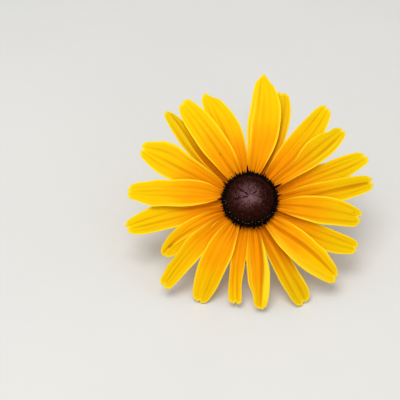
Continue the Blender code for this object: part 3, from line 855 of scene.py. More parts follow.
PETALS = (
    Petal(
        86.0, 78.9, 82.9, 47.7, 11.9, 1.3,
        droop=1.4, fold=-0.5, notch=0.0, point=3.0, skew=-0.9,
        right_trim=((0.6, 0.0), (0.7, -0.2), (0.8, -0.7), (0.9, -1.3)),
        left_trim=((0.5, 0.0), (0.68, -0.4), (0.9, -0.5)),
        grooves=(
            Groove(0.8, 0.7, 0.75, -0.3),
            Groove(0.5, 0.45, 0.4, 0.2),
            Groove(0.1, 0.1, 0.1, 0.12),
            Groove(-0.4, -0.35, -0.3, 0.1),
        ),
    ),
    Petal(
        74.5, 70.8, 73.2, 43.3, 10.0, -1.0,
        notch=0.9, skew=0.0, fold=0.1, warmth=2.5, tone=0.2, shading=0.5,
        right_trim=((0.5, 0.0), (0.7, 0.25), (0.9, 0.2)),
        grooves=(Groove(-0.4, -0.4, -0.45), Groove(-0.75, -0.7, -0.7, -0.12)),
    ),
    Petal(
        48.5, 48.8, 50.8, 45.6, 10.3, 0.1,
        droop=1.8, fold=0.3, notch=0.8, skew=-0.3, tilt=0.5,
        left_trim=((0.3, -0.1), (0.5, -0.7), (0.7, -0.85), (0.8, -1.0), (0.9, -0.6)),
        grooves=(Groove(0.35, 0.3, 0.3, 0.2), Groove(-0.3, -0.35, -0.35, 0.22), Groove(-0.05, 0.0, 0.0, 0.1)),
    ),
    Petal(
        33.5, 36.4, 37.5, 43.5, 9.0, 1.3,
        skew=0.5, widest=0.72, tilt=0.1, tone=0.2,
        left_trim=(
            (0.0, 0.0), (0.1, -0.6), (0.3, -1.8), (0.4, -1.6), (0.5, -0.5),
            (0.6, 0.0), (0.78, -0.2), (0.85, -1.3), (0.92, -1.0),
        ),
        right_trim=((0.7, 0.0), (0.9, -0.8)),
        grooves=(
            Groove(0.2, 0.2, 0.25, 0.25),
            Groove(-0.35, -0.35, -0.3, 0.3),
            Groove(-0.65, -0.6, -0.6, -0.2),
        ),
    ),
    Petal(
        20.5, 20.4, 22.5, 46.2, 8.1, -1.0,
        fold=0.2, notch=1.1, skew=0.7, tone=0.12, shading=0.1,
        right_trim=((0.5, 0.2), (0.7, 0.8), (0.9, 0.9)),
        left_trim=((0.5, -0.3), (0.6, -0.6), (0.7, -0.4), (0.9, -0.3)),
        grooves=(
            Groove(0.15, 0.15, 0.1, 0.25),
            Groove(-0.35, -0.35, -0.4, 0.25),
            Groove(0.55, 0.55, 0.5, 0.12),
        ),
    ),
    Petal(
        2.5, 6.8, 9.7, 45.4, 8.2, 0.1,
        fold=0.4, notch=1.2, skew=0.0, widest=0.6, tilt=0.5, warmth=1.0, tone=0.12,
        right_trim=((0.5, 0.1), (0.7, 0.4), (0.9, 0.3)),
        left_trim=((0.2, -0.3), (0.5, -0.4), (0.62, -0.65), (0.8, -0.4), (0.9, 0.0)),
        grooves=(
            Groove(-0.35, -0.1, -0.05, 0.75, 0.16),
            Groove(0.4, 0.4, 0.35, 0.12),
            Groove(-0.6, -0.55, -0.5, 0.2),
        ),
    ),
    Petal(
        -11.0, -7.5, -8.6, 40.6, 10.3, 1.2,
        fold=-0.3, notch=1.9, skew=-0.2, warmth=1.0, tone=0.12,
        right_trim=((0.7, 0.0), (0.9, 0.4)),
        left_trim=((0.0, 0.0), (0.1, -0.8), (0.4, -0.65), (0.6, -0.1)),
        grooves=(
            Groove(0.0, 0.05, 0.1, 0.35, 0.12),
            Groove(-0.9, -0.65, -0.5, 0.3),
            Groove(0.65, 0.7, 0.7, 0.12),
        ),
        marks=((0.9, 0.39, 0.01, 0.08, 0.6),),
    ),
    Petal(
        -27.8, -26.9, -23.1, 42.2, 8.4, -1.0,
        fold=0.2, notch=1.2, skew=-0.4, widest=0.6, warmth=0.5, tone=0.15, shading=0.1,
        right_trim=((0.6, 0.5), (0.9, 0.2)),
        left_trim=((0.05, 0.7), (0.3, 0.5), (0.42, -0.5), (0.6, -0.75), (0.8, -0.4), (0.9, -0.1)),
        grooves=(Groove(0.25, 0.3, 0.3, 0.22), Groove(-0.3, -0.3, -0.3, 0.28), Groove(0.65, 0.65, 0.6, 0.12)),
    ),
    Petal(
        -42.5, -42.5, -42.2, 41.4, 11.1, 1.3,
        fold=-0.2, wave=0.5, notch=1.2, skew=0.7,
        right_trim=((0.1, 0.9), (0.2, 0.8), (0.4, 0.4), (0.6, 0.4), (0.8, 0.0)),
        left_trim=(
            (0.0, 0.0), (0.1, -0.6), (0.3, -0.55), (0.45, -0.9),
            (0.6, -1.1), (0.7, -0.6), (0.8, -0.9), (0.9, -0.7),
        ),
        grooves=(
            Groove(-0.45, 0.12, 0.2, 0.9, 0.12),
            Groove(0.5, 0.55, 0.55, 0.15),
            Groove(-0.75, -0.7, -0.5, 0.3, 0.1, -0.3),
        ),
    ),
    Petal(
        -65.0, -63.2, -61.8, 41.2, 8.3, -0.3,
        droop=4.55, fold=0.9, crease=0.2, notch=1.1, widest=0.66, tilt=-0.2,
        warmth=2.0, tone=0.25, shading=0.9,
        right_trim=((0.4, 0.0), (0.6, -0.4), (0.8, -0.1), (0.9, 0.3)),
        left_trim=((0.5, -0.4), (0.7, -0.4), (0.8, 0.0), (0.87, 0.5)),
        grooves=(
            Groove(0.35, 0.3, 0.3, 0.3, 0.12),
            Groove(-0.05, -0.1, -0.1, -0.1, 0.12),
            Groove(-0.4, -0.4, -0.4, 0.18),
        ),
    ),
    Petal(
        -83.5, -83.6, -84.8, 38.7, 7.9, 0.1,
        droop=0.9, fold=0.6, crease=0.1, notch=0.5, skew=-0.3, warmth=5.0, tone=0.12,
        right_trim=((0.7, 0.0), (0.8, -0.7), (0.87, -0.6), (0.93, 0.0)),
        left_trim=((0.3, -0.2), (0.45, -0.35), (0.6, 0.0)),
        grooves=(
            Groove(0.75, 0.42, 0.02, 0.6, 0.16, 0.7),
            Groove(0.0, -0.2, -0.4, 0.2),
            Groove(-0.75, -0.7, -0.65, -0.2),
        ),
    ),
    Petal(
        -102.0, -101.4, -97.8, 36.9, 5.5, -0.2,
        droop=1.8, fold=0.5, point=0.2, skew=-0.4, widest=0.42, overrun=0.3, warmth=2.0,
        right_trim=((0.4, -0.5), (0.6, -0.3), (0.7, 0.0), (0.9, 0.4)),
        left_trim=((0.05, 0.5), (0.4, 0.4), (0.5, 0.0), (0.7, -0.45), (0.8, -0.4), (0.9, -0.1)),
        grooves=(Groove(0.1, 0.15, 0.3, 0.3, 0.12), Groove(-0.45, -0.4, -0.4, 0.2)),
    ),
    Petal(
        -123.0, -120.6, -116.6, 40.1, 10.2, 1.2,
        droop=6.55, fold=-0.3, notch=0.9, skew=-0.3, widest=0.5, warmth=2.0,
        right_trim=((0.1, -0.1), (0.3, -0.4), (0.7, -0.3), (0.85, 0.0)),
        left_trim=((0.7, 0.0), (0.85, 0.2)),
        grooves=(
            Groove(0.4, 0.35, 0.3, 0.22),
            Groove(0.1, 0.08, 0.05, 0.12),
            Groove(-0.45, -0.4, -0.4, 0.12),
            Groove(0.7, 0.65, 0.6, 0.15),
        ),
    ),
    Petal(
        -143.0, -139.5, -135.3, 43.4, 7.8, 0.4,
        droop=3.0, fold=0.5, notch=1.1, skew=-0.3, tilt=-0.4, tone=0.06,
        right_trim=((0.5, 0.0), (0.6, -0.6), (0.7, -0.8), (0.8, -0.25), (0.88, -0.4), (0.95, 0.0)),
        left_trim=((0.7, 0.0), (0.8, 0.25), (0.9, 0.5)),
        grooves=(
            Groove(0.0, 0.0, 0.05, 0.3, 0.12),
            Groove(0.5, 0.45, 0.4, 0.15),
            Groove(-0.5, -0.45, -0.4, 0.15),
        ),
    ),
    Petal(
        -155.5, -154.2, -146.7, 36.2, 8.0, -0.1,
        fold=0.2, wave=0.6, notch=0.8, skew=0.5, tilt=-0.4, warmth=-2.0,
        right_trim=(
            (0.0, 0.0), (0.1, -1.2), (0.3, -1.0), (0.5, -0.9),
            (0.62, -0.4), (0.75, 0.0), (0.9, 0.25),
        ),
        grooves=(
            Groove(0.5, 0.4, -0.3, -0.3),
            Groove(0.2, 0.1, -0.5, 0.4, 0.12),
            Groove(-0.4, -0.35, -0.3, 0.12),
        ),
        marks=((0.84, -0.15, 0.03, 0.1, 0.5), (0.87, -0.25, 0.015, 0.1, 0.6)),
    ),
    Petal(
        -170.5, -170.5, -168.1, 45.2, 9.8, -1.3,
        droop=2.8, notch=1.1, widest=0.6, fold=0.1, warmth=-1.0, tone=0.06, shading=0.1,
        right_trim=((0.6, 0.0), (0.75, -0.35), (0.9, -0.3)),
        grooves=(Groove(0.3, 0.3, 0.3, 0.25), Groove(-0.15, -0.2, -0.2, 0.25), Groove(0.65, 0.6, 0.6, 0.15)),
    ),
    Petal(
        168.5, 173.2, 175.5, 43.8, 10.1, 1.1,
        fold=-0.3, notch=0.6, skew=-0.2, widest=0.5,
        right_trim=(
            (0.0, 0.0), (0.08, -0.5), (0.2, 0.2), (0.4, -0.15), (0.5, -0.5),
            (0.58, -1.0), (0.7, -0.4), (0.8, -0.4), (0.9, 0.0),
        ),
        left_trim=(
            (0.0, 0.0), (0.08, -0.8), (0.2, 0.0), (0.5, 0.4),
            (0.65, 0.5), (0.75, 0.9), (0.8, 0.6), (0.9, 0.15),
        ),
        grooves=(
            Groove(0.0, 0.0, 0.0, 0.18),
            Groove(0.3, 0.3, 0.3, 0.14),
            Groove(-0.45, -0.4, -0.4, 0.14),
            Groove(0.85, 0.85, 0.8, -0.2),
        ),
    ),
    Petal(
        157.5, 153.8, 153.3, 44.0, 11.6, 0.1,
        notch=1.5, skew=0.5, widest=0.64, tilt=-0.4, shading=0.5,
        right_trim=(
            (0.1, -0.3), (0.3, -0.6), (0.5, -0.75), (0.57, -0.2),
            (0.66, 0.8), (0.8, 0.95), (0.87, 0.2), (0.92, -0.2),
        ),
        left_trim=((0.55, 0.0), (0.7, -0.2), (0.8, -0.5), (0.9, -1.0)),
        grooves=(
            Groove(0.05, 0.05, 0.05, 0.3, 0.1),
            Groove(-0.4, -0.4, -0.4, 0.18),
            Groove(0.45, 0.4, 0.4, 0.18),
            Groove(-0.7, -0.7, -0.7, 0.1),
        ),
    ),
    Petal(
        138.0, 133.5, 131.2, 45.5, 8.0, -1.1,
        fold=-0.7, crease=0.25, notch=0.0, point=0.9, skew=-0.5, warmth=-1.5, tone=0.25, shading=0.7,
        right_trim=((0.6, 0.0), (0.8, -0.8), (0.95, -0.7)),
        left_trim=((0.6, 0.0), (0.75, -0.4), (0.9, -0.3)),
        grooves=(
            Groove(0.68, 0.43, -0.1, -0.4, 0.07),
            Groove(0.42, 0.16, -0.45, 0.6, 0.14),
            Groove(0.9, 0.75, 0.5, 0.15),
        ),
    ),
    Petal(
        119.5, 121.9, 123.7, 44.2, 10.2, 1.2,
        notch=1.0, skew=0.6, warmth=-1.5,
        right_trim=((0.1, 1.0), (0.2, 0.6), (0.3, 0.3), (0.5, 0.0), (0.8, 0.2), (0.9, 0.35)),
        left_trim=((0.1, 0.65), (0.3, 0.35), (0.5, 0.0), (0.7, -0.25), (0.9, -0.4)),
        grooves=(
            Groove(-0.05, 0.0, 0.0, 0.3, 0.1),
            Groove(0.5, 0.45, 0.4, 0.15),
            Groove(-0.5, -0.45, -0.4, 0.18),
        ),
        marks=((0.13, 0.3, 0.012, 0.05, 0.7), (0.33, 0.03, 0.012, 0.05, 0.6)),
    ),
    Petal(
        107.0, 106.4, 111.0, 43.6, 10.2, -0.5,
        droop=1.8, notch=0.0, point=2.2, skew=-1.4, warmth=-2.5,
        right_trim=((0.5, 0.0), (0.7, -0.3), (0.85, -0.7), (0.93, -1.5)),
        grooves=(
            Groove(0.2, 0.2, 0.25, 0.22, 0.08),
            Groove(-0.35, -0.35, -0.3, 0.15, 0.08),
            Groove(0.65, 0.6, 0.5, 0.15),
        ),
    ),
)


@dataclass(frozen=True)
class RayPetals:
    """The 21 ray petals and the thin collar that they grow from, in millimetres.

    A petal's lower face lies half the solid thickness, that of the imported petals, under its worked-out
    height. The layer reach is how far past the root a petal comes to about two thirds of its own layer.
    The shade lift is how high above a petal its neighbour's edge darkens it fully, and the shade reach
    how far out it does. The collar is rows of radius and height.
    """

    root_radius: float = 7.4
    solid_thickness: float = 0.62
    thickness: float = 0.32
    rim_thickness: float = 0.12
    root_width_share: float = 0.25
    least_half_width: float = 0.5
    layer_reach: float = 3.2
    arch: float = 1.1
    channel: float = 1.3
    pleat: float = 0.04
    furrow_full_depth: float = 0.3
    flap_full_height: float = 0.6
    shade_lift: float = 1.0
    shade_reach: float = 1.4
    rows: int = 84
    columns: int = 61
    first_seed: int = 100
    collar: tuple = ((6.2, -0.45), (9.0, -0.45), (9.0, 0.35), (6.2, 0.45))
    collar_sides: int = 96

    def edge_spaced(self) -> np.ndarray:
        """Places across from -1 to 1, closer together at the edges: part even, part the sine of even ones."""
        even = np.linspace(-1.0, 1.0, self.columns)
        return 0.45 * even + 0.55 * np.sin(0.5 * pi * even)

    def width_share(self, petal: Petal, share: np.ndarray) -> np.ndarray:
        """The petal's width as a share of its greatest: a sine up to the widest place, then a rounded fall.

        Args:
            petal: The petal.
            share: Shares along it, from the root at 0 to the tip at 1.

        Returns:
            The width at each share, from 0 to 1.
        """
        rise = np.sin(0.5 * pi * np.clip(share / petal.widest, 0.0, 1.0))
        rise = self.root_width_share + (1.0 - self.root_width_share) * rise
        past = np.clip(share - petal.widest, 0.0, None) / (1.0 + petal.overrun - petal.widest)
        return np.where(share < petal.widest, rise, (1.0 - past**2.2) ** 0.75)

    def end_cut(self, petal: Petal, across: np.ndarray, phase: float) -> np.ndarray:
        """How far the petal's end is cut back.

        The notch is a bell curve in the middle, the point a power of the place across and the skew a
        straight line. A fourth power rounds the corners, and a bell curve on each side and a sine are teeth.

        Args:
            petal: The petal.
            across: Places across, from -1 to 1.
            phase: Where the sine starts, in radians.

        Returns:
            The cut at each place, in millimetres.
        """
        cut = petal.notch * np.exp(-((across / 0.24) ** 2)) + petal.point * np.abs(across) ** 1.3
        cut += 1.1 * across**4 + petal.skew * across
        cut += 0.22 * np.exp(-(((np.abs(across) - 0.6) / 0.13) ** 2)) + 0.07 * np.sin(11.0 * across + phase)
        return cut

    def surface(self, petal: Petal, number: int) -> tuple[np.ndarray, dict[str, np.ndarray]]:
        """The petal's lower face before its thickness, on a grid from root to tip and edge to edge.

        The middle line is a curve of the second degree through the root, the middle and the tip.
        Points stand off it to the left by the half width times the place across. The height adds the
        layer, an arch, the droop, the fold, the pleats, a wave, and the furrows, each a bell curve.

        Args:
            petal: The petal.
            number: Its place in the table, which seeds the small unevenness.

        Returns:
            The points, and the values that the finish reads.
        """
        root = polar(self.root_radius, petal.root_deg)
        middle = polar(0.5 * (self.root_radius + petal.reach), petal.middle_deg)
        tip = polar(petal.reach, petal.tip_deg)
        control = 2.0 * middle - 0.5 * (root + tip)
        length = np.linalg.norm(tip - root)
        draw = seeded(self.first_seed + number).uniform(0.0, 2.0 * pi, 8)

        end, across = np.meshgrid(np.linspace(0.0, 1.0, self.rows), self.edge_spaced(), indexing="ij")
        share = end * (1.0 - self.end_cut(petal, across, draw[0]) / length)
        s = share[..., None]
        centre = (1 - s) ** 2 * root + 2 * s * (1 - s) * control + s**2 * tip
        heading = unit_rows((1 - s) * (control - root) + s * (tip - control))
        left = np.stack([-heading[..., 1], heading[..., 0]], axis=2)
        half_width = 0.5 * petal.width * self.width_share(petal, share)
        half_width += smooth_rise(share / 0.3) * 0.07 * np.sin(17.0 * share + 2.0 * np.sign(across) + draw[1])
        right_trim = self.trim(petal.right_trim, share, across < 0.0)
        half_width += right_trim + self.trim(petal.left_trim, share, across > 0.0)
        half_width = np.maximum(half_width, self.least_half_width)
        plane = centre + left * (half_width * across)[..., None]

        radius = np.linalg.norm(centre, axis=2)
        height = petal.layer * (1.0 - np.exp(-(radius - self.root_radius) / self.layer_reach))
        height += self.arch * np.sin(pi * share) - petal.droop * share**2.4
        spread = smooth_rise(share / 0.35)
        height += spread * petal.fold * (np.abs(across - petal.crease) ** 1.6 - 0.35)
        height += spread * (petal.tilt * across + self.pleat * np.cos(3.0 * pi * across))
        swing = np.sin(9.0 * share + petal.root_deg * 0.13 + across)
        height += spread * petal.wave * across * np.abs(across) * swing
        near_root = smooth_rise(share / 0.06) * (1.0 - smooth_rise((share - 0.12) / 0.5))
        free = np.clip(0.5 + 0.6 * petal.layer + 1.2 * petal.tilt * np.sign(across), 0.15, 1.0)
        height += near_root * self.channel * free * (np.abs(across) ** 1.8 - 0.4)
        furrows, steps = self.furrows(petal, share, across, draw)
        fade = smooth_rise(share / 0.12) * (1.0 - 0.6 * smooth_rise((share - 0.8) / 0.2))
        height += fade * (steps - furrows)
        height += fade * 0.025 * np.cos(10.0 * pi * across + 1.5 * np.sin(5.0 * share + draw[2]))
        height += 0.06 * np.sin(19.0 * share + 3.0 * across + draw[3]) * spread
        height += 0.22 * spread * np.abs(across) ** 9
        values = {
            "radius": radius,
            "across": across,
            # the groove value places painted shade in the furrows
            "groove": np.clip(fade * furrows / self.furrow_full_depth, 0.0, 1.0),
            # the ridge, end and flap values place the painted highlights
            "ridge": np.clip(-fade * furrows / self.furrow_full_depth, 0.0, 1.0),
            "end": end,
            "tint": np.full(share.shape, (0.5 + 0.5 * sin(12.9898 * (number + 1)))),
            "blemish": self.blemishes(petal, share, across),
            "flap": np.clip(fade * steps / self.flap_full_height, 0.0, 1.0),
            # painted shade on a petal that lies low, weaker near its root
            "tone": petal.tone * (0.4 + 0.6 * smooth_rise((share - 0.2) / 0.3)),
            "warmth": np.full(share.shape, petal.warmth),
        }
        return np.dstack([plane, height - 0.5 * self.solid_thickness]), values

    def blemishes(self, petal: Petal, share: np.ndarray, across: np.ndarray) -> np.ndarray:
        """How dark the petal's marks are, each one a bell curve along and across.

        Args:
            petal: The petal.
            share: Shares along it.
            across: Places across it.

        Returns:
            The darkness at each point, 0 where there is no mark.
        """
        dark = np.zeros(share.shape)
        for at_share, at_across, length, width, darkness in petal.marks:
            spread = ((share - at_share) / length) ** 2 + ((across - at_across) / width) ** 2
            dark += darkness * np.exp(-spread)
        return dark

    def shade(self, points: np.ndarray, edge: np.ndarray) -> np.ndarray:
        """How much of the light a neighbour's edge keeps off each point, from 0 to 1.

        It is 1 right under an edge that is the shade lift or more above the point, and falls by the
        exponential of the distance in the plane over the shade reach.

        Args:
            points: The petal's points, on their grid.
            edge: The points of the neighbour's edge.

        Returns:
            The shade at each point of the grid.
        """
        flat = points.reshape(-1, 1, 3) - edge[None]
        distance = np.hypot(flat[..., 0], flat[..., 1])
        nearest = distance.argmin(axis=1)
        each = np.arange(len(nearest))
        lift = np.clip(-flat[each, nearest, 2] / self.shade_lift, 0.0, 1.0)
        return (lift * np.exp(-distance[each, nearest] / self.shade_reach)).reshape(points.shape[:2])

    def trim(self, rows: tuple, share: np.ndarray, side: np.ndarray) -> np.ndarray:
        """How far an edge stands out, read between the rows of its trim.

        Args:
            rows: The trim's rows of share along and millimetres.
            share: Shares along the petal.
            side: Whether each point is on the edge's own side of the middle.

        Returns:
            The millimetres at each point, 0 on the other side.
        """
        if not rows:
            return np.zeros(share.shape)
        at, out = np.array(rows).T
        return np.where(side, np.interp(share, at, out), 0.0)

    def furrows(
        self, petal: Petal, share: np.ndarray, across: np.ndarray, draw: np.ndarray
    ) -> tuple[np.ndarray, np.ndarray]:
        """How deep the furrows are, bell curves across the petal, and how high the steps beside them are.

        Each furrow's line is a curve of the second degree in the share. The furrow wanders a little about
        it by a sine, and another sine makes it deeper and shallower.

        Args:
            petal: The petal.
            share: Shares along it.
            across: Places across it.
            draw: Random angles, from which each furrow takes its phase.

        Returns:
            The depth and the height at each point, in millimetres.
        """
        depth, steps = np.zeros(share.shape), np.zeros(share.shape)
        for number, groove in enumerate(petal.grooves):
            line = 2.0 * (share - 0.5) * (share - 1.0) * groove.at_root
            line = line - 4.0 * share * (share - 1.0) * groove.at_middle
            line = line + 2.0 * share * (share - 0.5) * groove.at_tip
            phase = draw[number % len(draw)]
            line = line + 0.03 * np.sin(6.0 * share + phase)
            strength = groove.depth * (0.72 + 0.28 * np.sin(7.0 * share + 2.0 * phase))
            depth += strength * np.exp(-(((across - line) / groove.width) ** 2))
            rise = smooth_rise((across - line) / 0.3)
            steps += abs(groove.step) * (rise if groove.step > 0.0 else 1.0 - rise)
        return depth, steps

    def blade(self, number: int, surfaces: list) -> Shape:
        """One petal: its lower face, and the same face raised by a thickness that falls towards the rim.

        Args:
            number: The petal's place in the table.
            surfaces: Every petal's lower face and values, in the order of the table.

        Returns:
            The closed petal, with the shade of its neighbours among its values.
        """
        bottom, values = surfaces[number]
        left_edge = surfaces[number - 1][0][:, 0]
        right_edge = surfaces[(number + 1) % len(surfaces)][0][:, -1]
        shade = np.maximum(self.shade(bottom, left_edge), self.shade(bottom, right_edge))
        shade *= PETALS[number].shading * (1.0 - 0.6 * smooth_rise((values["radius"] - 22.0) / 12.0))
        values = {**values, "shade": shade}
        taper = 1.0 - np.abs(values["across"]) ** 5
        top = bottom.copy()
        top[..., 2] += self.rim_thickness + (self.thickness - self.rim_thickness) * taper
        return closed_sheet(top, bottom, values)

    def build(self, head: HeadFrame) -> None:
        """Makes each petal and the collar as pieces.

        Args:
            head: The head's frame.
        """
        material = PetalFinish().material()
        surfaces = [self.surface(petal, number) for number, petal in enumerate(PETALS)]
        for number in range(len(PETALS)):
            name = f"ray_petal_{number + 1:02d}"
            add_piece(head, name, self.blade(number, surfaces), material, Node.PETALS)
        collar = turned_loop(np.array(self.collar), self.collar_sides, {})
        add_piece(head, "petal_collar", collar, COLLAR_GREENISH.material(), Node.PETALS)


# The cone of closed florets


@dataclass(frozen=True)
class Cone:
    """The dome of closed florets: a grooved core, pointed scales in spirals and a nap of fine hairs.

    Lengths are in millimetres. The creases are rows of an angle about the axis in degrees, how far from
    the axis they start and end, and their depth. The core lies its sink under the surface, and the
    scales start theirs under it.
    """

    radius: float = 8.35
    foot: float = 1.75
    top: float = 8.9
    scales: int = 1300
    scale_sides: int = 5
    hairs: int = 2600
    hair_sides: int = 3
    sides: int = 220
    rings: int = 80
    core_sink: float = 0.32
    scale_sink: float = 0.42
    golden_angle: float = pi * (3.0 - 5.0**0.5)
    creases: tuple = (
        (144.0, 0.3, 5.0, 0.7),
        (100.0, 0.3, 3.6, 0.55),
        (44.0, 0.3, 3.6, 0.65),
        (189.0, 0.9, 6.2, 0.6),
    )

    def profile(self, share: np.ndarray) -> tuple[np.ndarray, np.ndarray]:
        """Radius and height from the foot to the apex: powers of an angle's cosine and sine.

        Args:
            share: From the foot at 0 to the apex at 1.

        Returns:
            The radius and the height at each share.
        """
        angle = 0.5 * pi * share
        radius = self.radius * np.maximum(np.cos(angle), 0.0) ** 0.82
        return radius, self.foot + (self.top - self.foot) * np.sin(angle) ** 1.12

    def dents(self, plane: np.ndarray) -> np.ndarray:
        """How deep the creases near the apex are: bell curves about short wavy lines.

        Args:
            plane: Points of the face, whose last axis is x and y.

        Returns:
            The depth at each point.
        """
        depth = np.zeros(plane.shape[:-1])
        for degrees, start, end, deep in self.creases:
            heading = polar(1.0, degrees)
            along = plane @ heading
            aside = plane @ np.array([-heading[1], heading[0]]) - 0.12 * np.sin(2.2 * along)
            past = smooth_rise((along - 0.6 * end) / (0.4 * end))
            inside = smooth_rise((along - start) / 0.5) * (1.0 - past)
            depth += deep * inside * np.exp(-((aside / 0.27) ** 2))
        return depth

    def mauve(self, plane: np.ndarray) -> np.ndarray:
        """How mauve the dome is: a bell curve about a point near the apex and a second below it.

        Sines mottle it, and it is less towards the dome's edge and, as painted shade, in the creases.

        Args:
            plane: Points of the face, whose last axis is x and y.

        Returns:
            The mauve at each point, about 0 to 1.
        """
        away = np.linalg.norm(plane - np.array([-0.6, 0.4]), axis=-1)
        below = np.linalg.norm((plane - np.array([0.3, -1.3])) / (1.6, 1.0), axis=-1)
        crescent = np.exp(-((below / 1.3) ** 2))
        edge = smooth_rise((np.linalg.norm(plane, axis=-1) - 6.6) / 1.6)
        x, y = plane[..., 0], plane[..., 1]
        mottle = 0.14 * np.sin(2.1 * x + 1.3 * np.sin(1.7 * y)) * np.sin(1.9 * y)
        bloom = 0.72 * np.exp(-((away / 5.0) ** 3.2)) + 0.42 * crescent
        # painted shade: darker in the creases, where the mauve is less
        return bloom * (1.0 + mottle) + 0.20 - 0.18 * edge - 1.5 * self.dents(plane)

    def points_at(self, share: np.ndarray, angle: np.ndarray, sink: float) -> tuple[np.ndarray, np.ndarray]:
        """Points of the dome and its outward normals there.

        Args:
            share: From the foot at 0 to the apex at 1.
            angle: Round the axis, in radians.
            sink: How far under the true surface the points are.

        Returns:
            The points and the normals, which the profile's slope gives.
        """
        step = 0.002
        low_radius, low_height = self.profile(np.clip(share - step, 0.0, 1.0))
        high_radius, high_height = self.profile(np.clip(share + step, 0.0, 1.0))
        rise, inward = high_height - low_height, low_radius - high_radius
        radius, height = self.profile(share)
        round_axis = spokes(angle)
        normal = unit_rows(np.concatenate([round_axis * rise[..., None], inward[..., None]], axis=-1))
        points = np.concatenate([round_axis * radius[..., None], height[..., None]], axis=-1)
        points = points - normal * (sink + self.dents(points[..., :2]))[..., None]
        return points, normal

    def spiral(self, count: int, first: float) -> tuple[np.ndarray, np.ndarray]:
        """Places in spirals, each a golden angle on from the last and with an equal area of the dome's skin.

        Args:
            count: How many places there are.
            first: Where the sequence starts, from 0 to 1.

        Returns:
            Shares from foot to apex, and angles round the axis.
        """
        fine = np.linspace(0.0, 0.998, 400)
        radius, height = self.profile(fine)
        steps = np.hypot(np.diff(radius), np.diff(height)) * 0.5 * (radius[1:] + radius[:-1])
        area = np.concatenate([[0.0], np.cumsum(steps)])
        number = (np.arange(count) + 0.5 + first) / (count + 1)
        return np.interp(number, area / area[-1], fine), np.arange(count) * self.golden_angle + first

    def downhill(self, angle: np.ndarray, normal: np.ndarray) -> np.ndarray:
        """The steepest way down the dome: the way out from the axis, less its part along the normal.

        Args:
            angle: Round the axis, in radians.
            normal: The dome's outward normals.

        Returns:
            One unit vector for each angle.
        """
        outward = np.column_stack([spokes(angle), np.zeros(len(angle))])
        return unit_rows(outward - normal * (outward * normal).sum(axis=1, keepdims=True))

    def core(self) -> Shape:
        """The dome under the scales, sunk a little, with the creases in it.

        Returns:
            The closed core.
        """
        share = np.linspace(0.0, 0.97, self.rings)
        grid_share, grid_angle = np.meshgrid(share, round_angles(self.sides), indexing="ij")
        points, _ = self.points_at(grid_share, grid_angle, self.core_sink)
        foot, tip = np.array([0.0, 0.0, self.foot]), np.array([0.0, 0.0, self.top - 0.4])
        shape = closed_rings(points, foot, tip, {"along": np.zeros(self.rings)})
        shape.values["mauve"] = self.mauve(shape.points[:, :2]) - 0.25
        shape.values["tint"] = np.full(len(shape.points), 0.5)
        return shape

    def scale_shapes(self) -> Shape:
        """The pointed scales, which lean inwards at the top and stand out at the foot.

        Returns:
            All the scales as one shape.
        """
        draw = seeded(7)
        share, angle = self.spiral(self.scales, 0.31)
        places, normal = self.points_at(share, angle, self.scale_sink)
        lean = (0.45 + 2.4 * share**2)[:, None]
        uneven = draw.normal(0.0, 0.12, (self.scales, 3))
        heading = unit_rows(normal - lean * self.downhill(angle, normal) + uneven)
        length = draw.uniform(0.85, 1.15, self.scales) * (1.0 + 0.45 * share)
        width = 0.27 - 0.09 * share
        sizes = np.stack([width, 0.8 * width, length], axis=1)
        frames = frames_along(heading, draw.uniform(0.0, 2.0 * pi, self.scales), sizes)
        values = {"mauve": self.mauve(places[:, :2]), "tint": draw.uniform(0.0, 1.0, self.scales)}
        return stamped(scale_shape(self.scale_sides), places, frames, values)

    def nap(self) -> Shape:
        """The fine hairs, thickest near the apex, that lie nearly along the dome.

        Returns:
            All the hairs as one shape.
        """
        draw = seeded(11)
        share = 1.0 - 0.72 * draw.uniform(0.0, 1.0, self.hairs) ** 0.8
        share = np.clip(share, 0.05, 0.985)
        angle = draw.uniform(0.0, 2.0 * pi, self.hairs)
        places, normal = self.points_at(share, angle, 0.0)
        side = draw.normal(0.0, 0.3, (self.hairs, 3))
        either_way = draw.choice([-1.0, 1.0], (self.hairs, 1))
        heading = unit_rows(0.55 * normal + either_way * self.downhill(angle, normal) + side)
        length = draw.uniform(0.3, 0.85, self.hairs)
        sizes = np.stack([draw.uniform(0.03, 0.055, self.hairs), np.full(self.hairs, 0.03), length], axis=1)
        frames = frames_along(heading, draw.uniform(0.0, 2.0 * pi, self.hairs), sizes)
        values = {"mauve": self.mauve(places[:, :2]), "tint": draw.uniform(0.0, 1.0, self.hairs)}
        return stamped(needle_shape(self.hair_sides, 0.0, (0.0, 0.6)), places, frames, values)

    def build(self, head: HeadFrame) -> None:
        """Makes the scales with their core, and the nap, as two pieces.

        Args:
            head: The head's frame.
        """
        solid = joined([self.core(), self.scale_shapes()])
        brown = ConeFinish().material("cone_brown_fine", 0.45)
        add_piece(head, "closed_florets", solid, brown, Node.CONE)
        nap = ConeFinish().material("cone_nap", 0.95)
        add_piece(head, "cone_nap", self.nap(), nap, Node.CONE)


# The ring of open florets


@dataclass(frozen=True)
class FloretRow:
    """One row of the ring, in millimetres.

    The rise is how steeply its florets point up, and the shift is their share of a step round the ring.
    """

    radius: float
    height: float
    rise: float
    shift: float


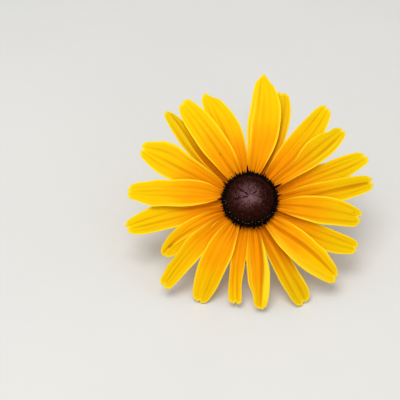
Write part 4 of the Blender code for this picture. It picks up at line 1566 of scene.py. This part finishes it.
@dataclass(frozen=True)
class FloretRing:
    """The ring of open florets round the cone's foot, with pointed chaff between them and pale stigma tips.

    Lengths are in millimetres. The long chaff is rows of an angle about the axis in degrees and a length.
    """

    inner: float = 8.66
    outer: float = 10.0
    bottom: float = 1.75
    top: float = 4.3
    band_sides: int = 132
    florets_per_row: int = 50
    floret_points: int = 5
    chaff: int = 120
    long_chaff_height: float = 2.5
    stigmas: int = 24
    stigmas: int = 24
    rows: tuple = (
        FloretRow(9.0, 1.55, 0.15, 0.75),
        FloretRow(9.05, 2.35, 0.5, 0.25),
        FloretRow(9.05, 3.0, 1.1, 0.5),
        FloretRow(8.75, 3.4, 2.4, 0.0),
        FloretRow(8.3, 3.45, 9.0, 0.5),
    )
    long_chaff: tuple = (
        (94.0, 2.6),
        (25.8, 3.1),
        (8.0, 1.7),
        (147.0, 1.8),
        (180.0, 1.9),
        (-108.0, 1.9),
        (-74.0, 1.5),
        (-57.0, 1.4),
        (60.0, 1.4),
        (118.0, 1.3),
    )

    def band(self) -> Shape:
        """The band that the florets grow from: its profile turned and joined to itself.

        Returns:
            The closed band.
        """
        profile = np.array(
            [
                [self.inner - 0.9, self.bottom - 0.8],
                [self.outer - 0.75, self.bottom - 0.75],
                [self.outer - 0.6, self.bottom + 0.6],
                [self.outer - 0.95, self.bottom + 1.4],
                [self.inner + 0.1, self.top - 0.9],
                [self.inner - 0.5, self.top - 1.05],
                [self.inner - 0.9, self.top - 1.5],
            ]
        )
        return turned_loop(profile, self.band_sides, {"along": np.zeros(len(profile))})

    def floret(self) -> Shape:
        """One open floret: a tube that flares to a pointed mouth, and the anthers' column in its middle.

        Returns:
            The floret along +Z, in millimetres.
        """
        sides = 2 * self.floret_points
        circle = spokes(round_angles(sides))
        star = np.where(np.arange(sides) % 2 == 0, 1.0, 0.0)
        radii = [np.full(sides, 0.22), np.full(sides, 0.22), 0.27 + 0.21 * star]
        heights = [np.zeros(sides), np.full(sides, 0.7), 1.0 + 0.16 * star]
        rings = np.stack([np.column_stack([r[:, None] * circle, z]) for r, z in zip(radii, heights)])
        along = np.array([0.0, 0.4, 1.0])
        mouth = closed_rings(rings, np.zeros(3), np.array([0.0, 0.0, 0.6]), {"along": along})
        column = turned_rings(np.array([[0.11, 0.5], [0.12, 1.15]]), 5)
        foot, tip = np.array([0.0, 0.0, 0.45]), np.array([0.0, 0.0, 1.4])
        return joined([mouth, closed_rings(column, foot, tip, {"along": np.array([0.2, 0.9])})])

    def florets(self) -> Shape:
        """The rows of florets, each leaning out by its row's rise.

        Returns:
            All the florets as one shape.
        """
        draw = seeded(23)
        count = self.florets_per_row
        made = []
        for row in self.rows:
            degrees = 360.0 * (np.arange(count) + row.shift) / count + draw.normal(0.0, 1.2, count)
            outward = spokes(np.radians(degrees))
            height = row.height + draw.normal(0.0, 0.08, count)
            places = np.column_stack([outward * row.radius, height])
            upward = np.column_stack([outward, np.full(count, row.rise)])
            heading = unit_rows(upward + draw.normal(0.0, 0.12, (count, 3)))
            sizes = draw.uniform(0.8, 1.15, (count, 1)) * (1.0, 1.0, 0.72)
            frames = frames_along(heading, draw.uniform(0.0, 2.0 * pi, count), sizes)
            made.append(stamped(self.floret(), places, frames, {}))
        return joined(made)

    def chaff_tips(self) -> Shape:
        """Pointed chaff: a fringe of short tips round the ring's outside, and a few long ones.

        Returns:
            All the tips as one shape.
        """
        draw = seeded(31)
        degrees = 360.0 * np.arange(self.chaff) / self.chaff + draw.normal(0.0, 1.4, self.chaff)
        length = draw.uniform(0.3, 0.85, self.chaff)
        height = draw.uniform(1.3, 3.0, self.chaff)
        long_degrees, long_length = np.array(self.long_chaff).T
        degrees = np.concatenate([degrees, long_degrees])
        length = np.concatenate([length, long_length])
        height = np.concatenate([height, np.full(len(long_length), self.long_chaff_height)])
        outward = spokes(np.radians(degrees))
        places = np.column_stack([outward * (self.outer - 0.6), height])
        heading = unit_rows(np.column_stack([outward, 0.1 + 0.35 * (height - 1.5)]))
        sizes = np.stack([0.24 + 0.14 * length, np.full(len(length), 0.16), length + 0.6], axis=1)
        frames = frames_along(heading, draw.normal(0.0, 0.3, len(length)), sizes)
        return stamped(needle_shape(5, 0.0), places, frames, {})

    def stigma_tips(self) -> Shape:
        """The pale dots: small grains on the florets of the ring's lower side.

        Returns:
            All the grains as one shape.
        """
        draw = seeded(37)
        count = self.stigmas
        degrees = np.linspace(-178.0, -34.0, count) + draw.normal(0.0, 2.0, count)
        radius = draw.uniform(8.45, 9.25, count)
        outward = spokes(np.radians(degrees))
        height = np.interp(radius, [8.3, 8.8, 9.4], [4.35, 4.3, 3.75])
        places = np.column_stack([outward * radius[:, None], height])
        heading = unit_rows(np.column_stack([outward * 0.4, np.ones(count)]))
        sizes = draw.uniform(0.7, 1.25, (count, 1)) * (0.11, 0.11, 0.3)
        frames = frames_along(heading, draw.uniform(0.0, 2.0 * pi, count), sizes)
        return stamped(scale_shape(6), places, frames, {})

    def build(self, head: HeadFrame) -> None:
        """Makes the dark ring and the pale stigma tips as two pieces.

        Args:
            head: The head's frame.
        """
        ring = joined([self.band(), self.florets(), self.chaff_tips()])
        add_piece(head, "open_florets", ring, FloretFinish().material(), Node.RING)
        add_piece(head, "stigma_tips", self.stigma_tips(), STIGMA_PALE.material(), Node.RING)


# Stem, receptacle and bracts


@dataclass(frozen=True)
class BractRow:
    """One whorl of green bracts under the petals, in millimetres and degrees.

    The slope is how steeply they leave the flower's plane, and the curl is how much further their tips bend.
    """

    count: int
    first_deg: float
    length: float
    width: float
    root_height: float
    slope_deg: float
    curl: float


@dataclass(frozen=True)
class Greenery:
    """The stem with its cut end, the receptacle under the petals, two whorls of bracts and their hairs.

    Lengths are in millimetres. The receptacle's depth is from its top to its foot, and the stem's start
    depth is measured down the flower's axis from the petals' plane.
    """

    receptacle_top: float = -0.85
    receptacle_radius: float = 7.0
    receptacle_depth: float = 7.5
    receptacle_sides: int = 72
    stem_top_radius: float = 2.0
    stem_end_radius: float = 1.55
    stem_start_depth: float = 6.0
    stem_inside_receptacle: float = 2.0
    stem_side_bend: float = 9.0
    stem_ease: float = 1.35
    stem_rings: int = 220
    stem_sides: int = 48
    stem_ribs: int = 8
    rib_depth: float = 0.022
    end_behind_head: float = 92.0
    bract_thickness: float = 0.62
    bract_rim: float = 0.16
    bract_root_radius: float = 4.6
    bract_cup: float = 0.35
    bract_rows: int = 40
    bract_columns: int = 15
    whorls: tuple = (
        BractRow(9, 8.0, 12.5, 4.2, -2.6, 9.0, 1.2),
        BractRow(9, 28.0, 17.5, 4.8, -3.6, 20.0, 2.6),
    )
    hair_stations: int = 400
    hair_radius: float = 0.055
    stem_hairs: int = 1500
    bract_hairs: int = 70

    def stem_path(self, head: HeadFrame, count: int) -> tuple[np.ndarray, np.ndarray]:
        """The stem's middle line: along the flower's axis, then easing down to the surface and along it.

        The slope falls as a power of what is left of the bend, and the trapezium rule adds it up.

        Args:
            head: The head's frame, which says how high the stem starts.
            count: How many points the line has.

        Returns:
            Points in an upright frame under the head's middle, and the stem's radius at each.
        """
        tilt = radians(head.tilt_deg)
        start_behind = self.stem_start_depth * sin(tilt)
        start_height = head.height - self.stem_start_depth * cos(tilt)
        share = np.linspace(0.0, 1.0, 201)
        slope = radians(90.0 - head.tilt_deg) * (1.0 - share) ** self.stem_ease
        fall = self.running_sum(np.sin(slope), share[1])
        run = self.running_sum(np.cos(slope), share[1])
        bend = (start_height - self.stem_end_radius) / fall[-1]
        level = self.end_behind_head - start_behind - bend * run[-1]
        travelled = np.linspace(-self.stem_inside_receptacle, bend + level, count)
        before, beyond = np.clip(travelled, None, 0.0), np.clip(travelled - bend, 0.0, None)
        behind = start_behind + before * sin(tilt) + bend * np.interp(travelled / bend, share, run) + beyond
        up = start_height - before * cos(tilt) - bend * np.interp(travelled / bend, share, fall)
        done = np.clip(travelled / (bend + level), 0.0, 1.0)
        thinner = smooth_rise(done * 1.6)
        radius = self.stem_top_radius + (self.stem_end_radius - self.stem_top_radius) * thinner
        return np.column_stack([self.stem_side_bend * done**1.5, behind, up]), radius

    def running_sum(self, values: np.ndarray, step: float) -> np.ndarray:
        """The area under the values from the first one on, by the trapezium rule."""
        return np.concatenate([[0.0], np.cumsum(0.5 * (values[1:] + values[:-1]))]) * step

    def stem_frame(self, head: HeadFrame, count: int) -> tuple[np.ndarray, ...]:
        """The stem's middle line in the head's frame, with its radius and directions across it.

        Args:
            head: The head's frame.
            count: How many points the line has.

        Returns:
            The points, the radius at each, and two unit vectors across the stem at each.
        """
        upright, radius = self.stem_path(head, count)
        centres = head.from_upright(upright)
        heading = unit_rows(np.gradient(centres, axis=0))
        across = np.tile((1.0, 0.0, 0.0), (count, 1))
        side = unit_rows(across - heading * (across * heading).sum(axis=1, keepdims=True))
        return centres, radius, side, np.cross(heading, side)

    def stem(self, head: HeadFrame) -> Shape:
        """The stem: rings along its line, with shallow ribs from a cosine of the angle round it.

        Args:
            head: The head's frame.

        Returns:
            The closed stem.
        """
        count = self.stem_rings
        centres, radius, side, lift = self.stem_frame(head, count)
        angles = round_angles(self.stem_sides)
        ribs = 1.0 - self.rib_depth + self.rib_depth * np.cos(self.stem_ribs * angles)
        outward = np.cos(angles)[:, None] * side[:, None] + np.sin(angles)[:, None] * lift[:, None]
        rings = centres[:, None] + (radius[:, None] * ribs)[..., None] * outward
        along = np.linspace(0.0, 30.0, count)
        shape = closed_rings(rings, centres[0], centres[-1], {"along": along})
        shape.values["across"] = np.concatenate([np.tile(np.sin(angles), count), [0.0, 0.0]])
        return shape

    def receptacle(self) -> Shape:
        """The swelling under the petals: a rounded profile turned about the axis.

        Returns:
            The closed receptacle.
        """
        top, deep, wide = self.receptacle_top, self.receptacle_depth, self.receptacle_radius
        corners = np.array(
            [
                [self.stem_top_radius + 0.15, top - deep],
                [0.5 * wide, top - 0.74 * deep],
                [0.86 * wide, top - 0.42 * deep],
                [wide, top - 0.7],
                [wide - 0.6, top],
            ]
        )
        fine = np.linspace(0.0, 4.0, 33)
        profile = np.stack([np.interp(fine, np.arange(5), corners[:, axis]) for axis in (0, 1)], axis=1)
        profile[1:-1] = (profile[:-2] + 2.0 * profile[1:-1] + profile[2:]) / 4.0
        shape = turned_shape(profile, self.receptacle_sides, {"along": fine})
        shape.values["across"] = np.arctan2(shape.points[:, 1], shape.points[:, 0]) / pi
        return shape

    def bract_face(self, row: BractRow, degrees: float) -> tuple[np.ndarray, np.ndarray]:
        """The upper face of a bract, a lance-shaped leaf that curves down and away under the petals.

        The half width is the square root of a parabola of the share along. A furrow runs along its middle.

        Args:
            row: The whorl that it is in.
            degrees: Its angle about the axis.

        Returns:
            The points, and the place across of each.
        """
        along, sideways = np.linspace(0.0, 1.0, self.bract_rows), np.linspace(-1.0, 1.0, self.bract_columns)
        share, across = np.meshgrid(along, sideways, indexing="ij")
        half_width = 0.5 * row.width * np.sqrt(np.clip(0.62 + 1.5 * share - 2.05 * share**2, 0.02, 1.0))
        half_width = half_width * (1.0 - smooth_rise((share - 0.85) / 0.15) * 0.8)
        outward = polar(1.0, degrees)
        left = np.array([-outward[1], outward[0]])
        run = self.bract_root_radius + row.length * cos(radians(row.slope_deg)) * share
        drop = row.length * sin(radians(row.slope_deg)) * share + row.curl * share**2
        plane = outward * run[..., None] + left * (half_width * across)[..., None]
        height = row.root_height - drop + self.bract_cup * across**2
        height -= 0.12 * np.exp(-((across / 0.12) ** 2)) + 0.05 * np.cos(5.0 * pi * across)
        return np.dstack([plane, height]), across

    def bract_places(self) -> list[tuple[BractRow, int, float]]:
        """Each bract's whorl, its number in the whorl and its angle about the axis."""
        steps = [(row, number) for row in self.whorls for number in range(row.count)]
        return [(row, number, row.first_deg + 360.0 * number / row.count) for row, number in steps]

    def bracts(self) -> Shape:
        """All the bracts, as blades that thin out towards their rims by a fourth power.

        Returns:
            The bracts as one shape.
        """
        made = []
        for row, number, degrees in self.bract_places():
            top, across = self.bract_face(row, degrees)
            bottom = top.copy()
            inner = 1.0 - np.abs(across) ** 4
            bottom[..., 2] -= self.bract_rim + (self.bract_thickness - self.bract_rim) * inner
            values = {"along": np.full(across.shape, float(number)), "across": across}
            made.append(closed_sheet(top, bottom, values))
        return joined(made)

    def hairs(self, head: HeadFrame) -> Shape:
        """The bristles on the stem and along the bracts, none of which reaches into the surface.

        Args:
            head: The head's frame.

        Returns:
            All the bristles as one shape.
        """
        draw = seeded(41)
        count = self.stem_hairs
        centres, radius, side, lift = self.stem_frame(head, self.hair_stations)
        at = draw.integers(14, self.hair_stations - 2, count)
        angle = draw.uniform(0.0, 2.0 * pi, count)
        spoke = np.cos(angle)[:, None] * side[at] + np.sin(angle)[:, None] * lift[at]
        along = np.cross(side[at], lift[at])
        places = [centres[at] + spoke * (radius[at] - 0.08)[:, None]]
        headings = [spoke + draw.uniform(-0.3, 0.45, (count, 1)) * along + draw.normal(0.0, 0.15, (count, 3))]
        count = self.bract_hairs
        for row, _, degrees in self.bract_places():
            face, across = self.bract_face(row, degrees)
            rows = draw.integers(4, self.bract_rows - 1, count)
            columns = draw.integers(0, self.bract_columns, count)
            outward = np.array([*polar(1.0, degrees), 0.0])
            left = np.array([-outward[1], outward[0], 0.0])
            edge = across[rows, columns][:, None]
            places.append(face[rows, columns] - (0.0, 0.0, 0.5 * self.bract_thickness))
            below = np.array([[0.0, 0.0, -1.0]]) * (1.0 - 0.8 * np.abs(edge))
            headings.append(below + 1.3 * edge * left + 0.5 * outward + draw.normal(0.0, 0.2, (count, 3)))
        places = np.concatenate(places)
        heading = unit_rows(np.concatenate(headings))
        length = draw.uniform(0.6, 1.5, len(places))
        clear = head.height_of(places + heading * length[:, None]) > 0.05
        places, heading, length = places[clear], heading[clear], length[clear]
        wide = np.full(len(length), self.hair_radius)
        spin = draw.uniform(0.0, 2.0 * pi, len(length))
        frames = frames_along(heading, spin, np.stack([wide, wide, length], axis=1))
        return stamped(needle_shape(3, 2.2, (0.0, 0.5)), places, frames, {})

    def cut_end(self, head: HeadFrame) -> Shape:
        """The pale cut face at the stem's end: a thin disc with a darker ring dented into it.

        Args:
            head: The head's frame.

        Returns:
            The closed disc.
        """
        centres, radius, side, lift = self.stem_frame(head, self.stem_rings)
        heading = np.cross(side[-1], lift[-1])
        shares = np.array([0.9, 0.985, 0.93, 0.7, 0.6, 0.5, 0.2])
        depths = np.array([-0.1, 0.0, 0.06, 0.06, 0.02, 0.06, 0.07])
        rings = turned_rings(np.column_stack([shares * radius[-1], depths]), self.stem_sides)
        place = rings @ np.stack([side[-1], lift[-1], heading]) + centres[-1]
        return closed_rings(place, centres[-1] - 0.1 * heading, centres[-1] + 0.07 * heading, {})

    def build(self, head: HeadFrame) -> None:
        """Makes the green growth, its cut end and its hairs as pieces.

        Args:
            head: The head's frame.
        """
        green = GreenFinish().material()
        growth = joined([self.stem(head), self.receptacle()])
        add_piece(head, "stem_and_receptacle", growth, green, Node.GREEN)
        add_piece(head, "green_bracts", self.bracts(), green, Node.GREEN)
        add_piece(head, "cut_end", self.cut_end(head), CUT_PALE.material(), Node.GREEN)
        add_piece(head, "green_hairs", self.hairs(head), HAIR_PALE.material(), Node.GREEN)


# Floor, light and camera


@dataclass(frozen=True)
class Lamp:
    """A square area light, placed by its offset from the head's middle. Lengths are in metres."""

    name: str
    offset: tuple
    size: float
    watts: float
    color: tuple

    def build(self, middle: Vector) -> None:
        """Adds the light, which faces the middle.

        Args:
            middle: The head's middle, in metres.
        """
        light = bpy.data.lights.new(self.name, "AREA")
        light.shape = "SQUARE"
        light.size = self.size
        light.energy = self.watts
        light.color = self.color
        lamp = bpy.data.objects.new(self.name, light)
        lamp.location = middle + Vector(self.offset)
        lamp.rotation_euler = (middle - lamp.location).to_track_quat("-Z", "Y").to_euler()
        bpy.context.scene.collection.objects.link(lamp)


@dataclass(frozen=True)
class Studio:
    """A pale floor, soft light from overhead and the camera that looks down on the flower."""

    floor_size: float = 4.0
    camera_offset: tuple = (-17.537, -252.851, 220.176)
    camera_elevation_deg: float = 41.0
    lens: float = 85.0
    sensor_width: float = 36.0
    clip_start: float = 0.01
    sky: float = 0.62
    lamps: tuple = (
        Lamp("sky_light", (-0.14, -0.22, 0.75), 0.45, 3.4, (1.0, 0.985, 0.96)),
        Lamp("fill_light", (0.5, -0.75, 0.35), 0.6, 0.5, (1.0, 0.98, 0.95)),
    )

    def build(self, head: HeadFrame) -> None:
        """Makes the floor, the lights and the camera.

        Args:
            head: The head's frame, whose middle the lights face.
        """
        middle = Vector(head.origin)
        self.add_floor()
        for lamp in self.lamps:
            lamp.build(middle)
        self.add_sky()
        self.add_camera(middle)

    def add_floor(self) -> None:
        """A flat square at height 0."""
        half = 0.5 * self.floor_size
        mesh = bpy.data.meshes.new("floor")
        corners = [(-half, -half, 0.0), (half, -half, 0.0), (half, half, 0.0), (-half, half, 0.0)]
        mesh.from_pydata(corners, [], [(0, 1, 2, 3)])
        mesh.materials.append(FLOOR_PALE.material())
        floor = bpy.data.objects.new("floor", mesh)
        bpy.context.scene.collection.objects.link(floor)

    def add_sky(self) -> None:
        """Even white light from all round, and colours shown as they are."""
        world = bpy.data.worlds.new("studio")
        world.use_nodes = True
        background = world.node_tree.nodes["Background"]
        background.inputs["Color"].default_value = (1.0, 1.0, 1.0, 1.0)
        background.inputs["Strength"].default_value = self.sky
        bpy.context.scene.world = world
        bpy.context.scene.view_settings.view_transform = "Standard"

    def add_camera(self, middle: Vector) -> None:
        """The camera, level from side to side.

        Args:
            middle: The head's middle, in metres, that its offset in millimetres starts from.
        """
        camera = bpy.data.objects.new("camera", bpy.data.cameras.new("camera"))
        camera.data.lens = self.lens
        camera.data.sensor_width = self.sensor_width
        camera.data.clip_start = self.clip_start
        camera.location = middle + Vector(self.camera_offset) * MM
        camera.rotation_euler = (radians(90.0 - self.camera_elevation_deg), 0.0, 0.0)
        bpy.context.scene.collection.objects.link(camera)
        bpy.context.scene.camera = camera


def main() -> None:
    """Builds the flower's pieces and its studio in order."""
    logging.basicConfig(level=logging.INFO, format="%(message)s")
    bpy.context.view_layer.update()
    head = HeadFrame.from_cone(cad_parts[Node.CONE.value])
    LOG.info("head %.2f mm above the surface", head.height)
    for assembly in (Studio(), RayPetals(), Cone(), FloretRing(), Greenery()):
        assembly.build(head)
    bpy.context.view_layer.update()


if __name__ == "__main__":
    main()
